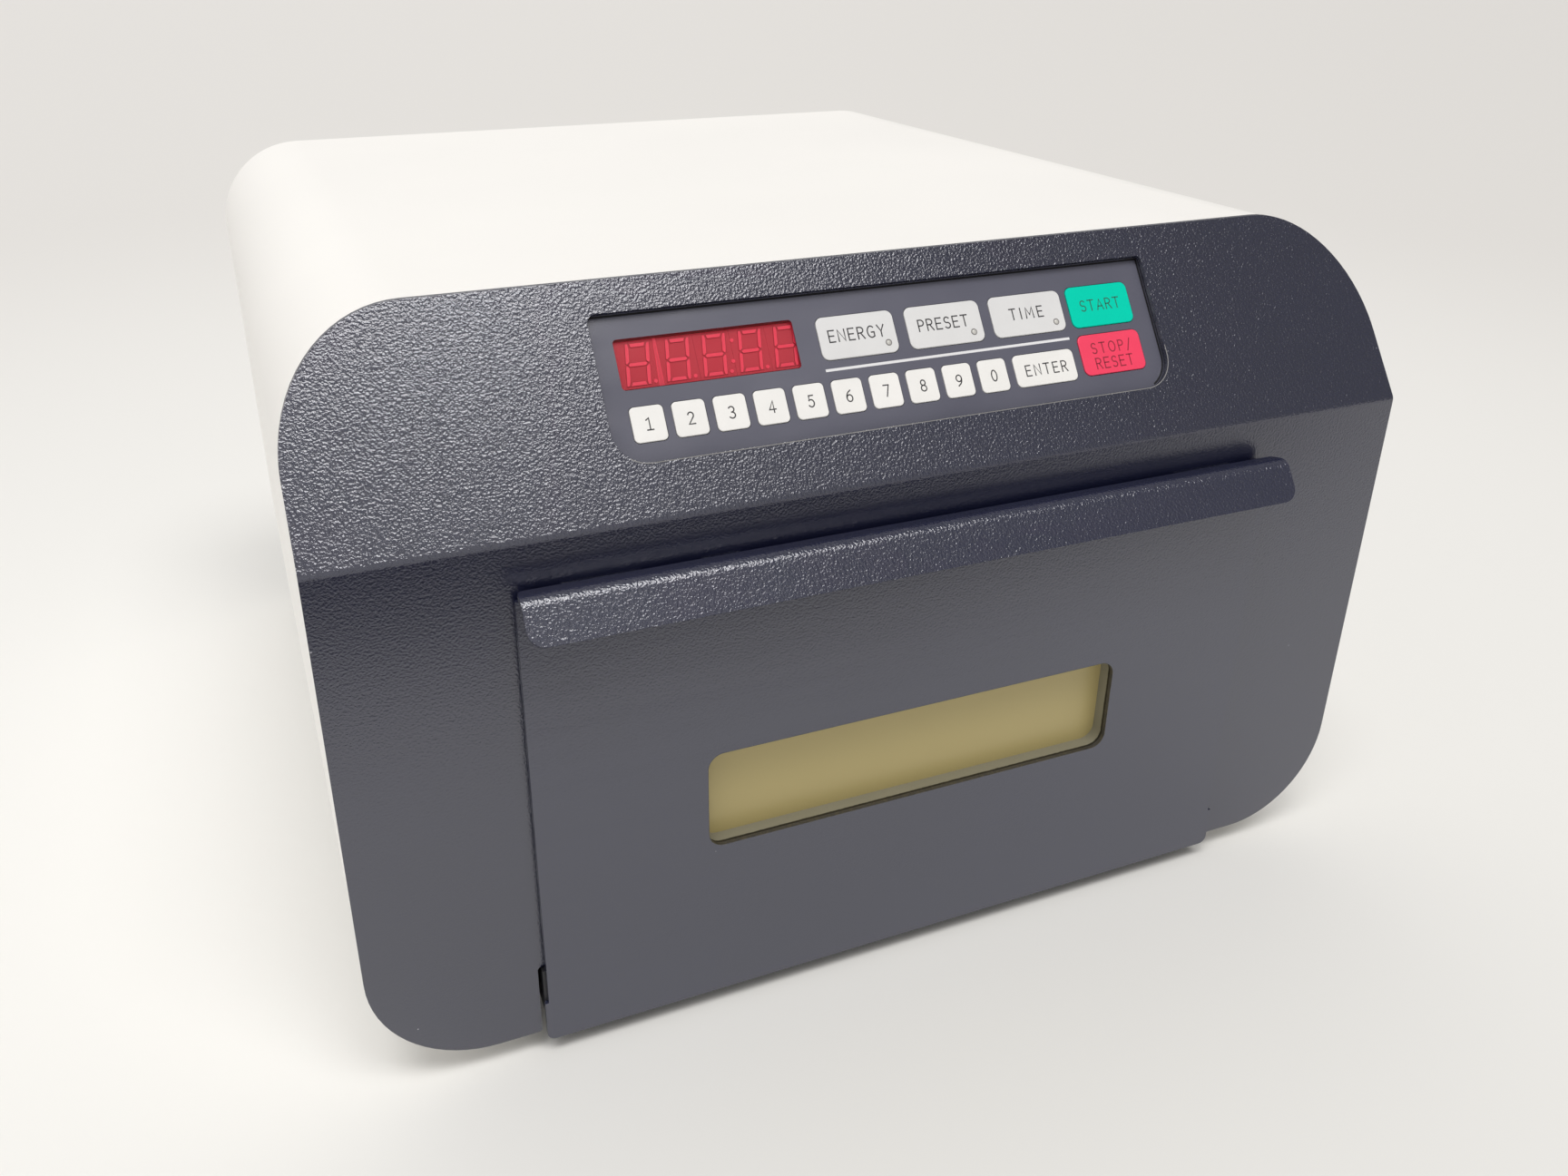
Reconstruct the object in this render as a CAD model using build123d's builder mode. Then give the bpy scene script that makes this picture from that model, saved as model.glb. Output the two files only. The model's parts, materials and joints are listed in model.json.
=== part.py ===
from build123d import *
import math
import os

# Bench ultraviolet crosslinker: a white wrap cover, a dark bent-sheet front with
# a recessed key panel, and a bottom-hinged door with a handle bent from its top edge.
# Millimetres. X to the right, Y to the back, Z up. The origin is the centre of the
# footprint, on the surface that the feet stand on.

# ---- overall sizes -------------------------------------------------------------
W = 387.0            # width of the front bezel
H = 252.0            # height of the bezel's top edge
ZB = 8.0             # bottom edge of the bezel
RC = 40.0            # corner radius of the bezel, seen from the front
ZC = 190.0           # height of the crease between the upright and leaning faces
SET = 42.3           # how far the top edge leans back
T_BEZ = 1.5          # bezel sheet
INSET = 0.5          # the cover lies this far inside the bezel's outline
T_COV = 1.2          # cover sheet
V_COVER = 383.0      # back edge of the cover, from the bezel's front face
V_OUT = 386.5        # rearmost surface: the lip of the fuse drawer
HANDLE_OUT = 18.26   # how far the door handle stands in front of the bezel
FY = (HANDLE_OUT - V_OUT) / 2.0   # y of the bezel's upright front face

LEAN = math.atan2(SET, H - ZC)    # lean of the upper face from the vertical
SA, CA = math.sin(LEAN), math.cos(LEAN)

# ---- doorway and chamber -------------------------------------------------------
OPEN_HW = 131.0      # half width of the doorway in the bezel
OPEN_TOP = 170.0
LEG_HW = 139.0       # half width between the bezel's legs below the doorway
LEG_TOP = 36.0
CH_HW = 130.0        # inner half width of the chamber
FLOOR_Z = 40.0       # top of the chamber floor
CEIL_Z = 205.0       # underside of the reflector
V_WALL0 = 2.0        # front edges of the chamber walls
V_BACK = 323.0       # front face of the chamber's rear wall
T_CH = 1.0

# ---- door ----------------------------------------------------------------------
DOOR_OFF = 3.2       # door's front face stands this far in front of the bezel
T_DOOR = 1.5
DOOR_HW = 136.7      # half width of the door above the hinge ears
TAB_HW = 138.0       # half width of the flat tab below them
TAB_TOP = 22.5
DOOR_BOT = 6.3
DOOR_TOP = 176.6
LIP_BEND_V = -9.5   # centre line of the sheet where the handle turns down
LIP_LEAN = LEAN      # the handle leans as the upper face does
LIP_LEN = (HANDLE_OUT + LIP_BEND_V - 0.5) / SA
FLANGE_RISE = 1.3     # the flange rises this much from the door to the bend
WIN_HW, WIN_Z0, WIN_Z1, WIN_R = 78.9, 69.1, 105.6, 5.5
PIV_V, PIV_Z = 8.0, 27.0          # hinge pivot
PIN_R = 2.5

# ---- control panel, in the plane of the leaning face ---------------------------
PAN_X0, PAN_X1 = -101.05, 99.65   # aperture in the bezel
PAN_S0, PAN_S1 = 17.5, 64.5
PAN_R = 11.0                      # its lower corners
KEY_TOP, KEY_BOT = -2.15, -3.3    # key's faces, from the bezel's face
KEY_TRAVEL = 0.4
KEY_GAP = 0.2
OVL_TOP, OVL_BOT = -2.5, -2.9
OVL_LAP = 1.3        # the overlay runs this far under the bezel
DISP = (-93.99, -35.06, 40.67, 56.73)         # x0, x1, s0, s1
DISP_R = 1.3
DIGIT_X = (-87.07, -74.27, -62.27, -50.27, -38.28)
DIGIT_S0, DIGIT_S1 = 42.13, 55.38
DIGIT_W = 7.7

os.makedirs("parts", exist_ok=True)


def put(builder, label):
    builder.part.label = label
    export_step(builder.part, "parts/%s.step" % label)


def front(v):
    """Upright plane facing forward, v behind the bezel's face: local x is X, local y is Z."""
    return Plane.XZ.offset(-(FY + v))


def lean(d=0.0):
    """Plane of the leaning face, d out of it: local x is X, local y runs up the slope."""
    return Plane(origin=(0, FY, ZC), x_dir=(1, 0, 0), z_dir=(0, -CA, SA)).offset(d)


def band(points, t):
    """Closed outline of a strip of thickness t, its left side on the given line."""
    left, right = [], []
    n = len(points)
    for i in range(n):
        dirs = []
        if i > 0:
            a, b = points[i - 1], points[i]
            length = math.hypot(b[0] - a[0], b[1] - a[1])
            dirs.append(((b[0] - a[0]) / length, (b[1] - a[1]) / length))
        if i < n - 1:
            a, b = points[i], points[i + 1]
            length = math.hypot(b[0] - a[0], b[1] - a[1])
            dirs.append(((b[0] - a[0]) / length, (b[1] - a[1]) / length))
        if len(dirs) == 1:
            nx, ny, k = -dirs[0][1], dirs[0][0], 1.0
        else:
            ax, ay = -dirs[0][1] - dirs[1][1], dirs[0][0] + dirs[1][0]
            m = math.hypot(ax, ay)
            nx, ny = ax / m, ay / m
            k = 1.0 / (nx * -dirs[0][1] + ny * dirs[0][0])
        left.append(points[i])
        right.append((points[i][0] - nx * k * t, points[i][1] - ny * k * t))
    return left + right[::-1]


# side view of the bent sheet, from below the bezel's edge to above it
up = (SA, CA)
bez_line = [(FY, ZB - 3.0), (FY, ZC), (FY + 90.0 * SA, ZC + 90.0 * CA)]
bez_out = band(bez_line, T_BEZ)
bez_in_crease = bez_out[4]
clear_line = band(bez_line, T_BEZ + 0.25)
# everything behind the sheet, for cutting the cover's front edge
behind = clear_line[:2:-1] + [(FY + 600.0, clear_line[3][1]), (FY + 600.0, ZB - 3.0)]

# ================================================================================
# Front bezel
# ================================================================================
with BuildPart() as front_bezel:
    with BuildSketch(Plane.YZ) as s:
        with BuildLine():
            Polyline(*bez_out, close=True)
        make_face()
        fillet(s.vertices().sort_by_distance((FY, ZC))[0], 4.0)
        fillet(s.vertices().sort_by_distance(bez_in_crease)[0], 2.5)
    extrude(amount=W, both=True)
    with BuildSketch(front(70.0)):
        with Locations((0, (ZB + H) / 2)):
            RectangleRounded(W, H - ZB, RC)
    extrude(amount=90.0, mode=Mode.INTERSECT)
    # doorway, and the wider cut-out between the legs
    with BuildSketch(front(6.0)):
        with BuildLine():
            Polyline((-LEG_HW, ZB - 5), (-LEG_HW, LEG_TOP), (-OPEN_HW, LEG_TOP), (-OPEN_HW, OPEN_TOP),
                     (OPEN_HW, OPEN_TOP), (OPEN_HW, LEG_TOP), (LEG_HW, LEG_TOP), (LEG_HW, ZB - 5), close=True)
        make_face()
    extrude(amount=12.0, mode=Mode.SUBTRACT)
    # panel aperture in the leaning face
    with BuildSketch(lean(1.0)) as s:
        with Locations(((PAN_X0 + PAN_X1) / 2, (PAN_S0 + PAN_S1) / 2)):
            Rectangle(PAN_X1 - PAN_X0, PAN_S1 - PAN_S0)
        fillet(s.vertices().group_by(Axis.Y)[0], PAN_R)
        fillet(s.vertices().group_by(Axis.Y)[-1].sort_by(Axis.X)[0], 3.0)
        fillet(s.vertices().group_by(Axis.Y)[-1].sort_by(Axis.X)[-1], 2.0)
    extrude(amount=-4.0, mode=Mode.SUBTRACT)
    # leg corners beside the door tab, slightly rounded
    legs = front_bezel.edges().filter_by(Axis.Y).filter_by(
        lambda e: abs(abs(e.center().X) - LEG_HW) < 0.1 and e.center().Z < ZB + 0.5)
    fillet(legs, 1.2)
    tops = front_bezel.edges().filter_by(Axis.Y).filter_by(
        lambda e: abs(abs(e.center().X) - LEG_HW) < 0.1 and abs(e.center().Z - LEG_TOP) < 0.5)
    fillet(tops, 1.6)
put(front_bezel, "front_bezel")

# ================================================================================
# Wrap cover: top, sides and the two flanges under the body
# ================================================================================
CHW = W / 2 - INSET
CZ0, CZ1 = ZB + INSET, H - INSET
PAN_LAP = 140.0
with BuildPart() as cover:
    with BuildSketch(front(V_COVER)):
        with Locations((0, (CZ0 + CZ1) / 2)):
            RectangleRounded(2 * CHW, CZ1 - CZ0, RC - INSET)
            RectangleRounded(2 * CHW - 2 * T_COV, CZ1 - CZ0 - 2 * T_COV, RC - INSET - T_COV, mode=Mode.SUBTRACT)
        with Locations((0, CZ0)):
            Rectangle(2 * PAN_LAP, 10.0, mode=Mode.SUBTRACT)
    extrude(amount=V_COVER + 5.0)
    # screw tabs for the rear panel
    with BuildSketch(front(379.5)):
        for x in (-110.0, 110.0):
            with Locations((x, CZ1 - 8.5)):
                Rectangle(16.0, 16.0)
        for x in (-CHW + 8.5, CHW - 8.5):
            with Locations((x, 150.0), (x, 80.0)):
                Rectangle(16.0, 16.0)
    extrude(amount=T_COV)
    with BuildSketch(front(385.0)):
        for x in (-110.0, 110.0):
            with Locations((x, CZ1 - 11.0)):
                Circle(1.7)
        for x in (-CHW + 11.0, CHW - 11.0):
            with Locations((x, 150.0), (x, 80.0)):
                Circle(1.7)
    extrude(amount=10.0, mode=Mode.SUBTRACT)
    # front edge follows the back of the bezel
    with BuildSketch(Plane.YZ):
        with BuildLine():
            Polyline(*behind, close=True)
        make_face()
    extrude(amount=W, both=True, mode=Mode.INTERSECT)
    # holes in the bottom flanges for feet and cover screws
    with BuildSketch(Plane.XY.offset(ZB - 2)):
        with Locations(*[(sx * 146.0, FY + v) for sx in (-1, 1) for v in (48.0, 352.0)]):
            Circle(2.3)
        with Locations(*[(sx * 146.0, FY + v) for sx in (-1, 1) for v in (100.0, 200.0, 300.0)]):
            Circle(1.8)
    extrude(amount=6.0, mode=Mode.SUBTRACT)
put(cover, "cover")

# ================================================================================
# Base pan, with a front wall behind the swing of the door's tab
# ================================================================================
PAN_Z = CZ0 + T_COV
with BuildPart() as base_pan:
    with BuildSketch(Plane.XY.offset(PAN_Z)):
        with Locations((0, FY + (31.0 + 378.0) / 2)):
            Rectangle(304.0, 378.0 - 31.0)
    extrude(amount=1.5)
    with BuildSketch(Plane.XY.offset(PAN_Z)):
        with Locations((0, FY + 31.75)):
            Rectangle(272.0, 1.5)
    extrude(amount=FLOOR_Z - T_CH - 2.0 - PAN_Z)
    with BuildSketch(Plane.XY.offset(PAN_Z)):
        with Locations((0, FY + 31.75)):
            Rectangle(256.0, 1.5)
    extrude(amount=FLOOR_Z - T_CH - PAN_Z)
    with BuildSketch(Plane.XY.offset(PAN_Z)):
        with Locations((0, FY + 377.25)):
            Rectangle(304.0, 1.5)
    extrude(amount=14.0)
    with BuildSketch(Plane.XY.offset(PAN_Z - 1)):
        with Locations(*[(sx * 146.0, FY + v) for sx in (-1, 1) for v in (48.0, 352.0)]):
            Circle(2.3)
        with Locations(*[(sx * 146.0, FY + v) for sx in (-1, 1) for v in (100.0, 200.0, 300.0)]):
            Circle(1.8)
        # cooling slots under the ballasts
        with Locations(*[(x, FY + v) for x in (-136.0, 136.0) for v in (120.0, 150.0, 180.0, 210.0)]):
            SlotOverall(18.0, 3.0)
    extrude(amount=5.0, mode=Mode.SUBTRACT)
put(base_pan, "base_pan")

# ================================================================================
# Rear panel
# ================================================================================
INLET_X, INLET_Z = 128.0, 66.0
SW_X, SW_Z = 80.0, 66.0
SCREW_TOP = [(-110.0, CZ1 - 11.0), (110.0, CZ1 - 11.0)]
SCREW_SIDE = [(sx * (CHW - 11.0), z) for sx in (-1, 1) for z in (80.0, 150.0)]
with BuildPart() as rear_panel:
    with BuildSketch(front(381.0)):
        with Locations((0, (CZ0 + CZ1) / 2)):
            RectangleRounded(2 * CHW - 2 * T_COV - 0.6, CZ1 - CZ0 - 2 * T_COV - 0.6, RC - INSET - T_COV - 0.3)
        with Locations((INLET_X, INLET_Z)):
            Rectangle(45.0, 39.0, mode=Mode.SUBTRACT)
        with Locations((SW_X, SW_Z)):
            Rectangle(22.4, 30.4, mode=Mode.SUBTRACT)
        with Locations(*(SCREW_TOP + SCREW_SIDE)):
            Circle(1.7, mode=Mode.SUBTRACT)
        # two banks of cooling slots
        with Locations(*[(x, 205.0) for x in [(-75.0 + 10.0 * i) for i in range(16)]]):
            SlotOverall(34.0, 4.0, rotation=90, mode=Mode.SUBTRACT)
        with Locations(*[(-150.0 + 10.0 * i, 60.0) for i in range(8)]):
            SlotOverall(34.0, 4.0, rotation=90, mode=Mode.SUBTRACT)
    extrude(amount=1.5)
put(rear_panel, "rear_panel")

with BuildPart() as rear_screws:
    with BuildSketch(front(382.8)):
        with Locations(*(SCREW_TOP + SCREW_SIDE)):
            Circle(3.1)
    extrude(amount=1.8)
    with BuildSketch(front(381.0)):
        with Locations(*(SCREW_TOP + SCREW_SIDE)):
            Circle(1.45)
    extrude(amount=7.0)
    fillet(rear_screws.edges().filter_by(GeomType.CIRCLE).group_by(Axis.Y)[-1], 0.9)
    with BuildSketch(front(383.0)):
        with Locations(*(SCREW_TOP + SCREW_SIDE)):
            Rectangle(3.4, 0.7)
            Rectangle(0.7, 3.4)
    extrude(amount=1.2, mode=Mode.SUBTRACT)
put(rear_screws, "rear_screws")

# ================================================================================
# Chamber: floor, walls, ceiling
# ================================================================================
with BuildPart() as chamber_floor:
    with BuildSketch(Plane.XY.offset(FLOOR_Z - T_CH)):
        with Locations((0, FY + (V_WALL0 + V_BACK) / 2)):
            Rectangle(2 * (CH_HW - 1.0), V_BACK - V_WALL0)
    extrude(amount=T_CH)
    with BuildSketch(Plane.XY.offset(33.0)):
        with Locations((0, FY + V_WALL0 + T_CH / 2)):
            Rectangle(2 * (CH_HW - 2.0), T_CH)
    extrude(amount=FLOOR_Z - T_CH - 33.0)
    fillet(chamber_floor.edges().filter_by(Axis.X).filter_by(
        lambda e: abs(e.center().Y - (FY + V_WALL0)) < 0.01 and abs(e.center().Z - FLOOR_Z) < 0.01), 0.9)
put(chamber_floor, "chamber_floor")

WALL_V1 = 324.0
for side, name in ((-1, "chamber_left_wall"), (1, "chamber_right_wall")):
    with BuildPart() as wall:
        with BuildSketch(Plane.YZ.offset(side * (CH_HW + T_CH / 2) - T_CH / 2)):
            with BuildLine():
                Polyline((FY + V_WALL0, FLOOR_Z - 3.0), (FY + V_WALL0, 186.0), (FY + 15.0, CEIL_Z + T_CH),
                         (FY + WALL_V1, CEIL_Z + T_CH), (FY + WALL_V1, FLOOR_Z - 3.0), close=True)
            make_face()
        extrude(amount=T_CH)
        # turned-in foot that carries the floor
        with BuildSketch(Plane.XY.offset(FLOOR_Z - 3.0)):
            with Locations((side * (CH_HW - 4.0), FY + (33.0 + V_BACK) / 2)):
                Rectangle(8.0, V_BACK - 33.0)
        extrude(amount=3.0 - T_CH)
    put(wall, name)

with BuildPart() as chamber_rear_wall:
    with BuildSketch(front(V_BACK + T_CH)) as s:
        with Locations((0, (FLOOR_Z - 3.0 + CEIL_Z) / 2)):
            Rectangle(2 * CH_HW, CEIL_Z - FLOOR_Z + 3.0)
        with Locations((0, 62.0)):
            Circle(9.2, mode=Mode.SUBTRACT)
    extrude(amount=T_CH)
put(chamber_rear_wall, "chamber_rear_wall")

LAMP_X = (-96.0, -48.0, 0.0, 48.0, 96.0)
LAMP_Z = 195.0
V_L0, V_L1 = 24.5, 312.8          # ends of the lamp bases
# reflector: a sheet with a shallow fold over each lamp
fold = [(-CH_HW, CEIL_Z)]
for i, x in enumerate(LAMP_X):
    fold += [(x - 22.0, CEIL_Z), (x - 12.0, CEIL_Z + 3.0), (x + 12.0, CEIL_Z + 3.0), (x + 22.0, CEIL_Z)]
fold += [(CH_HW, CEIL_Z)]
with BuildPart() as lamp_reflector:
    with BuildSketch(front(V_BACK)):
        with BuildLine():
            Polyline(*fold, *[(x, z + T_CH) for x, z in fold[::-1]], close=True)
        make_face()
    extrude(amount=V_BACK - 25.0)
put(lamp_reflector, "lamp_reflector")

# ================================================================================
# Lamps, their bases and pins, sockets and brackets
# ================================================================================
with BuildPart() as uv_lamps:
    with BuildSketch(front(V_L1 - 2.0)):
        with Locations(*[(x, LAMP_Z) for x in LAMP_X]):
            Circle(7.75)
            Circle(7.05, mode=Mode.SUBTRACT)
    extrude(amount=V_L1 - V_L0 - 4.0)
put(uv_lamps, "uv_lamps")

with BuildPart() as lamp_bases:
    for v in (V_L0 + 2.0, V_L1):
        with BuildSketch(front(v)):
            with Locations(*[(x, LAMP_Z) for x in LAMP_X]):
                Circle(8.0)
        extrude(amount=2.0)
    for v in (V_L0 + 12.0, V_L1 - 2.0):
        with BuildSketch(front(v)):
            with Locations(*[(x, LAMP_Z) for x in LAMP_X]):
                Circle(8.0)
                Circle(7.8, mode=Mode.SUBTRACT)
        extrude(amount=10.0)
put(lamp_bases, "lamp_bases")

with BuildPart() as lamp_pins:
    for v in (V_L0, V_L1 + 6.0):
        with BuildSketch(front(v)):
            with Locations(*[(x + d, LAMP_Z) for x in LAMP_X for d in (-2.4, 2.4)]):
                Circle(1.15)
        extrude(amount=6.0)
put(lamp_pins, "lamp_pins")

SOCK = 8.5
with BuildPart() as lamp_sockets:
    for v0, open_v in ((V_L0 - SOCK, V_L0), (V_L1, V_L1 + 6.6)):
        with BuildSketch(front(v0 + SOCK)):
            with Locations(*[(x, LAMP_Z - 1.0) for x in LAMP_X]):
                RectangleRounded(17.0, 19.0, 3.0)
        extrude(amount=SOCK)
    for v in (V_L0 + 0.1, V_L1 + 6.6):
        with BuildSketch(front(v)):
            with Locations(*[(x, LAMP_Z) for x in LAMP_X]):
                SlotOverall(8.4, 3.2)
        extrude(amount=6.7, mode=Mode.SUBTRACT)
put(lamp_sockets, "lamp_sockets")

BRKT_Z0, BRKT_Z1 = LAMP_Z - 10.5, LAMP_Z + 8.0
with BuildPart() as lamp_brackets:
    for v in (V_L0 - SOCK, V_L1 + SOCK + 1.0):
        with BuildSketch(front(v)):
            with Locations((0, (BRKT_Z0 + BRKT_Z1) / 2)):
                Rectangle(2 * CH_HW - 0.4, BRKT_Z1 - BRKT_Z0)
        extrude(amount=1.0)
put(lamp_brackets, "lamp_brackets")

# ultraviolet sensor in the rear wall
with BuildPart() as uv_sensor:
    with BuildSketch(front(336.0)):
        with Locations((0, 62.0)):
            Circle(9.0)
    extrude(amount=13.0)
    with BuildSketch(front(V_BACK)):
        with Locations((0, 62.0)):
            Circle(12.0)
    extrude(amount=2.0)
    with BuildSketch(front(V_BACK - 1.0)):
        with Locations((0, 62.0)):
            Circle(6.0)
    extrude(amount=3.0, mode=Mode.SUBTRACT)
put(uv_sensor, "uv_sensor")

# ballasts against the outer faces of the chamber walls
BAL_X = CH_HW + T_CH
with BuildPart() as ballasts:
    for side, zs in ((1, (60.0, 100.0, 140.0)), (-1, (60.0, 100.0))):
        for z in zs:
            x0 = BAL_X if side > 0 else -BAL_X - 28.0
            with BuildSketch(Plane.XY.offset(z)):
                with Locations((x0 + 14.0, FY + 185.0)):
                    Rectangle(28.0, 150.0)
            extrude(amount=26.0)
    chamfer(ballasts.edges().filter_by(Axis.Y).filter_by(lambda e: abs(e.center().X) > BAL_X + 20), 3.0)
put(ballasts, "ballasts")

# ================================================================================
# Control panel
# ================================================================================
KEYS = []   # name, x0, x1, s0, s1, corner radius
for i, digit in enumerate("1234567890"):
    x0 = -93.49 + 13.322 * i
    KEYS.append(("key_%s" % digit, x0, x0 + 10.64, 24.11, 35.25, 1.6))
KEYS += [
    ("key_enter", 40.03, 63.83, 24.21, 35.35, 2.0),
    ("key_energy", -27.33, 0.08, 41.88, 56.13, 2.5),
    ("key_preset", 4.39, 32.30, 41.88, 56.13, 2.5),
    ("key_time", 36.22, 64.33, 41.98, 56.23, 2.5),
    ("key_start", 67.04, 92.14, 41.98, 56.53, 2.4),
    ("key_stop", 67.04, 92.14, 24.91, 39.17, 2.4),
]

OVL_C = ((PAN_X0 + PAN_X1) / 2, (PAN_S0 + PAN_S1) / 2)
OVL_W, OVL_H = PAN_X1 - PAN_X0 + 2 * OVL_LAP, PAN_S1 - PAN_S0 + 2 * OVL_LAP
with BuildPart() as panel_plate:
    # a shallow tray: its rim meets the back of the bezel, the overlay lies inside
    with BuildSketch(lean(OVL_BOT)):
        with Locations((0, (11.0 + 70.0) / 2)):
            RectangleRounded(212.0, 59.0, 3.0)
    extrude(amount=-2.0)
    with BuildSketch(lean(OVL_BOT)):
        with Locations((0, (11.0 + 70.0) / 2)):
            RectangleRounded(212.0, 59.0, 3.0)
        with Locations(OVL_C):
            RectangleRounded(OVL_W + 0.3, OVL_H + 0.3, 3.15, mode=Mode.SUBTRACT)
    extrude(amount=-T_BEZ - OVL_BOT)
    with BuildSketch(lean(OVL_BOT + 0.1)):
        for _, x0, x1, s0, s1, r in KEYS:
            with Locations(((x0 + x1) / 2, (s0 + s1) / 2)):
                RectangleRounded(x1 - x0 + 2 * KEY_GAP, s1 - s0 + 2 * KEY_GAP, r + KEY_GAP)
    extrude(amount=-1.3, mode=Mode.SUBTRACT)
    with BuildSketch(lean(OVL_BOT + 0.1)):
        with Locations(((-95.2 - 30.9) / 2, (40.2 + 57.3) / 2)):
            Rectangle(95.2 - 30.9, 57.3 - 40.2)
    extrude(amount=-3.0, mode=Mode.SUBTRACT)
put(panel_plate, "panel_plate")

with BuildPart() as keypad_overlay:
    with BuildSketch(lean(OVL_BOT)):
        with Locations(OVL_C):
            RectangleRounded(OVL_W, OVL_H, 3.0)
        for _, x0, x1, s0, s1, r in KEYS:
            with Locations(((x0 + x1) / 2, (s0 + s1) / 2)):
                RectangleRounded(x1 - x0 + 2 * KEY_GAP, s1 - s0 + 2 * KEY_GAP, r + KEY_GAP, mode=Mode.SUBTRACT)
        with Locations(((DISP[0] + DISP[1]) / 2, (DISP[2] + DISP[3]) / 2)):
            RectangleRounded(DISP[1] - DISP[0], DISP[3] - DISP[2], DISP_R, mode=Mode.SUBTRACT)
    extrude(amount=OVL_TOP - OVL_BOT)
put(keypad_overlay, "keypad_overlay")

with BuildPart() as display_window:
    with BuildSketch(lean(OVL_BOT)):
        with Locations(((DISP[0] + DISP[1]) / 2, (DISP[2] + DISP[3]) / 2)):
            RectangleRounded(DISP[1] - DISP[0] - 0.06, DISP[3] - DISP[2] - 0.06, DISP_R - 0.03)
    extrude(amount=0.45)
put(display_window, "display_window")

for name, x0, x1, s0, s1, r in KEYS:
    with BuildPart() as key:
        with BuildSketch(lean(KEY_BOT)):
            with Locations(((x0 + x1) / 2, (s0 + s1) / 2)):
                RectangleRounded(x1 - x0, s1 - s0, r)
        extrude(amount=KEY_TOP - KEY_BOT)
        rim = [f for f in key.faces() if f.normal_at().dot(Vector(0, -CA, SA)) > 0.99][0]
        fillet(rim.edges(), 0.3)
    put(key, name)

# five digit modules on the board, each with seven segments and a point
MOD_FACE = -4.0
with BuildPart() as digit_modules:
    with BuildSketch(lean(MOD_FACE)):
        for k, x in enumerate(DIGIT_X):
            half = 5.97 if k else 6.6
            with Locations((x - (0.1 if k == 0 else 0.0), (DIGIT_S0 + DIGIT_S1) / 2)):
                Rectangle(2 * half, 15.0)
    extrude(amount=-8.0)
put(digit_modules, "digit_modules")

SLANT = 1.9 / 13.2      # lean of the numerals
SEG = 1.2               # stroke of a segment


def skew(x, s, xc):
    return (xc + x + (s - (DIGIT_S0 + DIGIT_S1) / 2) * SLANT, s)


def segments(xc):
    """The seven strokes of one numeral, as closed outlines."""
    hw = DIGIT_W / 2
    lo, hi = DIGIT_S0, DIGIT_S1
    mid = (lo + hi) / 2
    g = 0.3
    inner = hw - SEG
    out = []
    # level strokes at the top and the bottom, with slanted ends
    for a, b in ((hi, hi - SEG), (lo, lo + SEG)):
        out.append([(-inner + 0.1, a), (inner - 0.1, a), (inner - g - 0.25, b), (-inner + g + 0.25, b)])
    # middle stroke, pointed at both ends
    h = SEG / 2
    tip = hw - 0.75
    out.append([(-tip, mid), (-tip + h, mid + h), (tip - h, mid + h), (tip, mid), (tip - h, mid - h), (-tip + h, mid - h)])
    # upright strokes
    for sx in (-1, 1):
        for end, sg in ((hi, 1), (lo, -1)):
            m = mid + sg * 0.22
            out.append([(sx * hw, end), (sx * hw, m + sg * 0.25), (sx * (hw - 0.45), m),
                        (sx * inner, m + sg * 0.75), (sx * inner, end - sg * (SEG + 0.15)), (sx * (inner + 0.35), end)])
    return [[skew(x, s, xc) for x, s in poly] for poly in out]


COLON_X = (DIGIT_X[2] + DIGIT_X[3]) / 2
with BuildPart() as digit_segments:
    with BuildSketch(lean(MOD_FACE)):
        for x in DIGIT_X:
            for poly in segments(x):
                with BuildLine():
                    Polyline(*poly, close=True)
                make_face()
        with Locations(*[(x + 4.45, DIGIT_S0 + 0.75) for x in DIGIT_X]):
            Circle(0.62)
        with Locations(skew(0, DIGIT_S1 - 2.7, COLON_X), skew(0, DIGIT_S0 + 3.9, COLON_X)):
            Circle(0.62)
    extrude(amount=0.2)
put(digit_segments, "digit_segments")

BOARD = MOD_FACE - 8.0
with BuildPart() as control_board:
    with BuildSketch(lean(BOARD)):
        with Locations((0, 51.0)):
            Rectangle(206.0, 33.0)
        with Locations((-100.0, 38.5), (100.0, 38.5), (-100.0, 63.5), (100.0, 63.5)):
            Circle(1.6, mode=Mode.SUBTRACT)
    extrude(amount=-1.6)
    # chips and connectors on its back
    with BuildSketch(lean(BOARD - 1.6)):
        with Locations((-40.0, 52.0), (10.0, 52.0)):
            Rectangle(34.0, 14.0)
        with Locations((60.0, 48.0), (60.0, 58.0)):
            Rectangle(18.0, 7.0)
    extrude(amount=-3.6)
put(control_board, "control_board")

with BuildPart() as board_standoffs:
    with BuildSketch(lean(OVL_BOT - 2.0)):
        with Locations((-100.0, 38.5), (100.0, 38.5), (-100.0, 63.5), (100.0, 63.5)):
            Circle(2.6)
    extrude(amount=-(OVL_BOT - 2.0 - BOARD))
put(board_standoffs, "board_standoffs")

# ================================================================================
# Door catch and interlock, behind the bezel above the doorway
# ================================================================================
with BuildPart() as catch_magnets:
    with BuildSketch(front(T_BEZ + 8.0)):
        with Locations((-110.0, 176.0), (110.0, 176.0)):
            Rectangle(26.0, 11.0)
    extrude(amount=8.0)
put(catch_magnets, "catch_magnets")

with BuildPart() as interlock_switch:
    with BuildSketch(front(T_BEZ + 7.0)):
        with Locations((-72.0, 176.5)):
            RectangleRounded(30.0, 11.0, 1.5)
    extrude(amount=7.0)
put(interlock_switch, "interlock_switch")

# ================================================================================
# Door
# ================================================================================
DV = -DOOR_OFF                       # front face
DI = -DOOR_OFF + T_DOOR              # inner face
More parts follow.
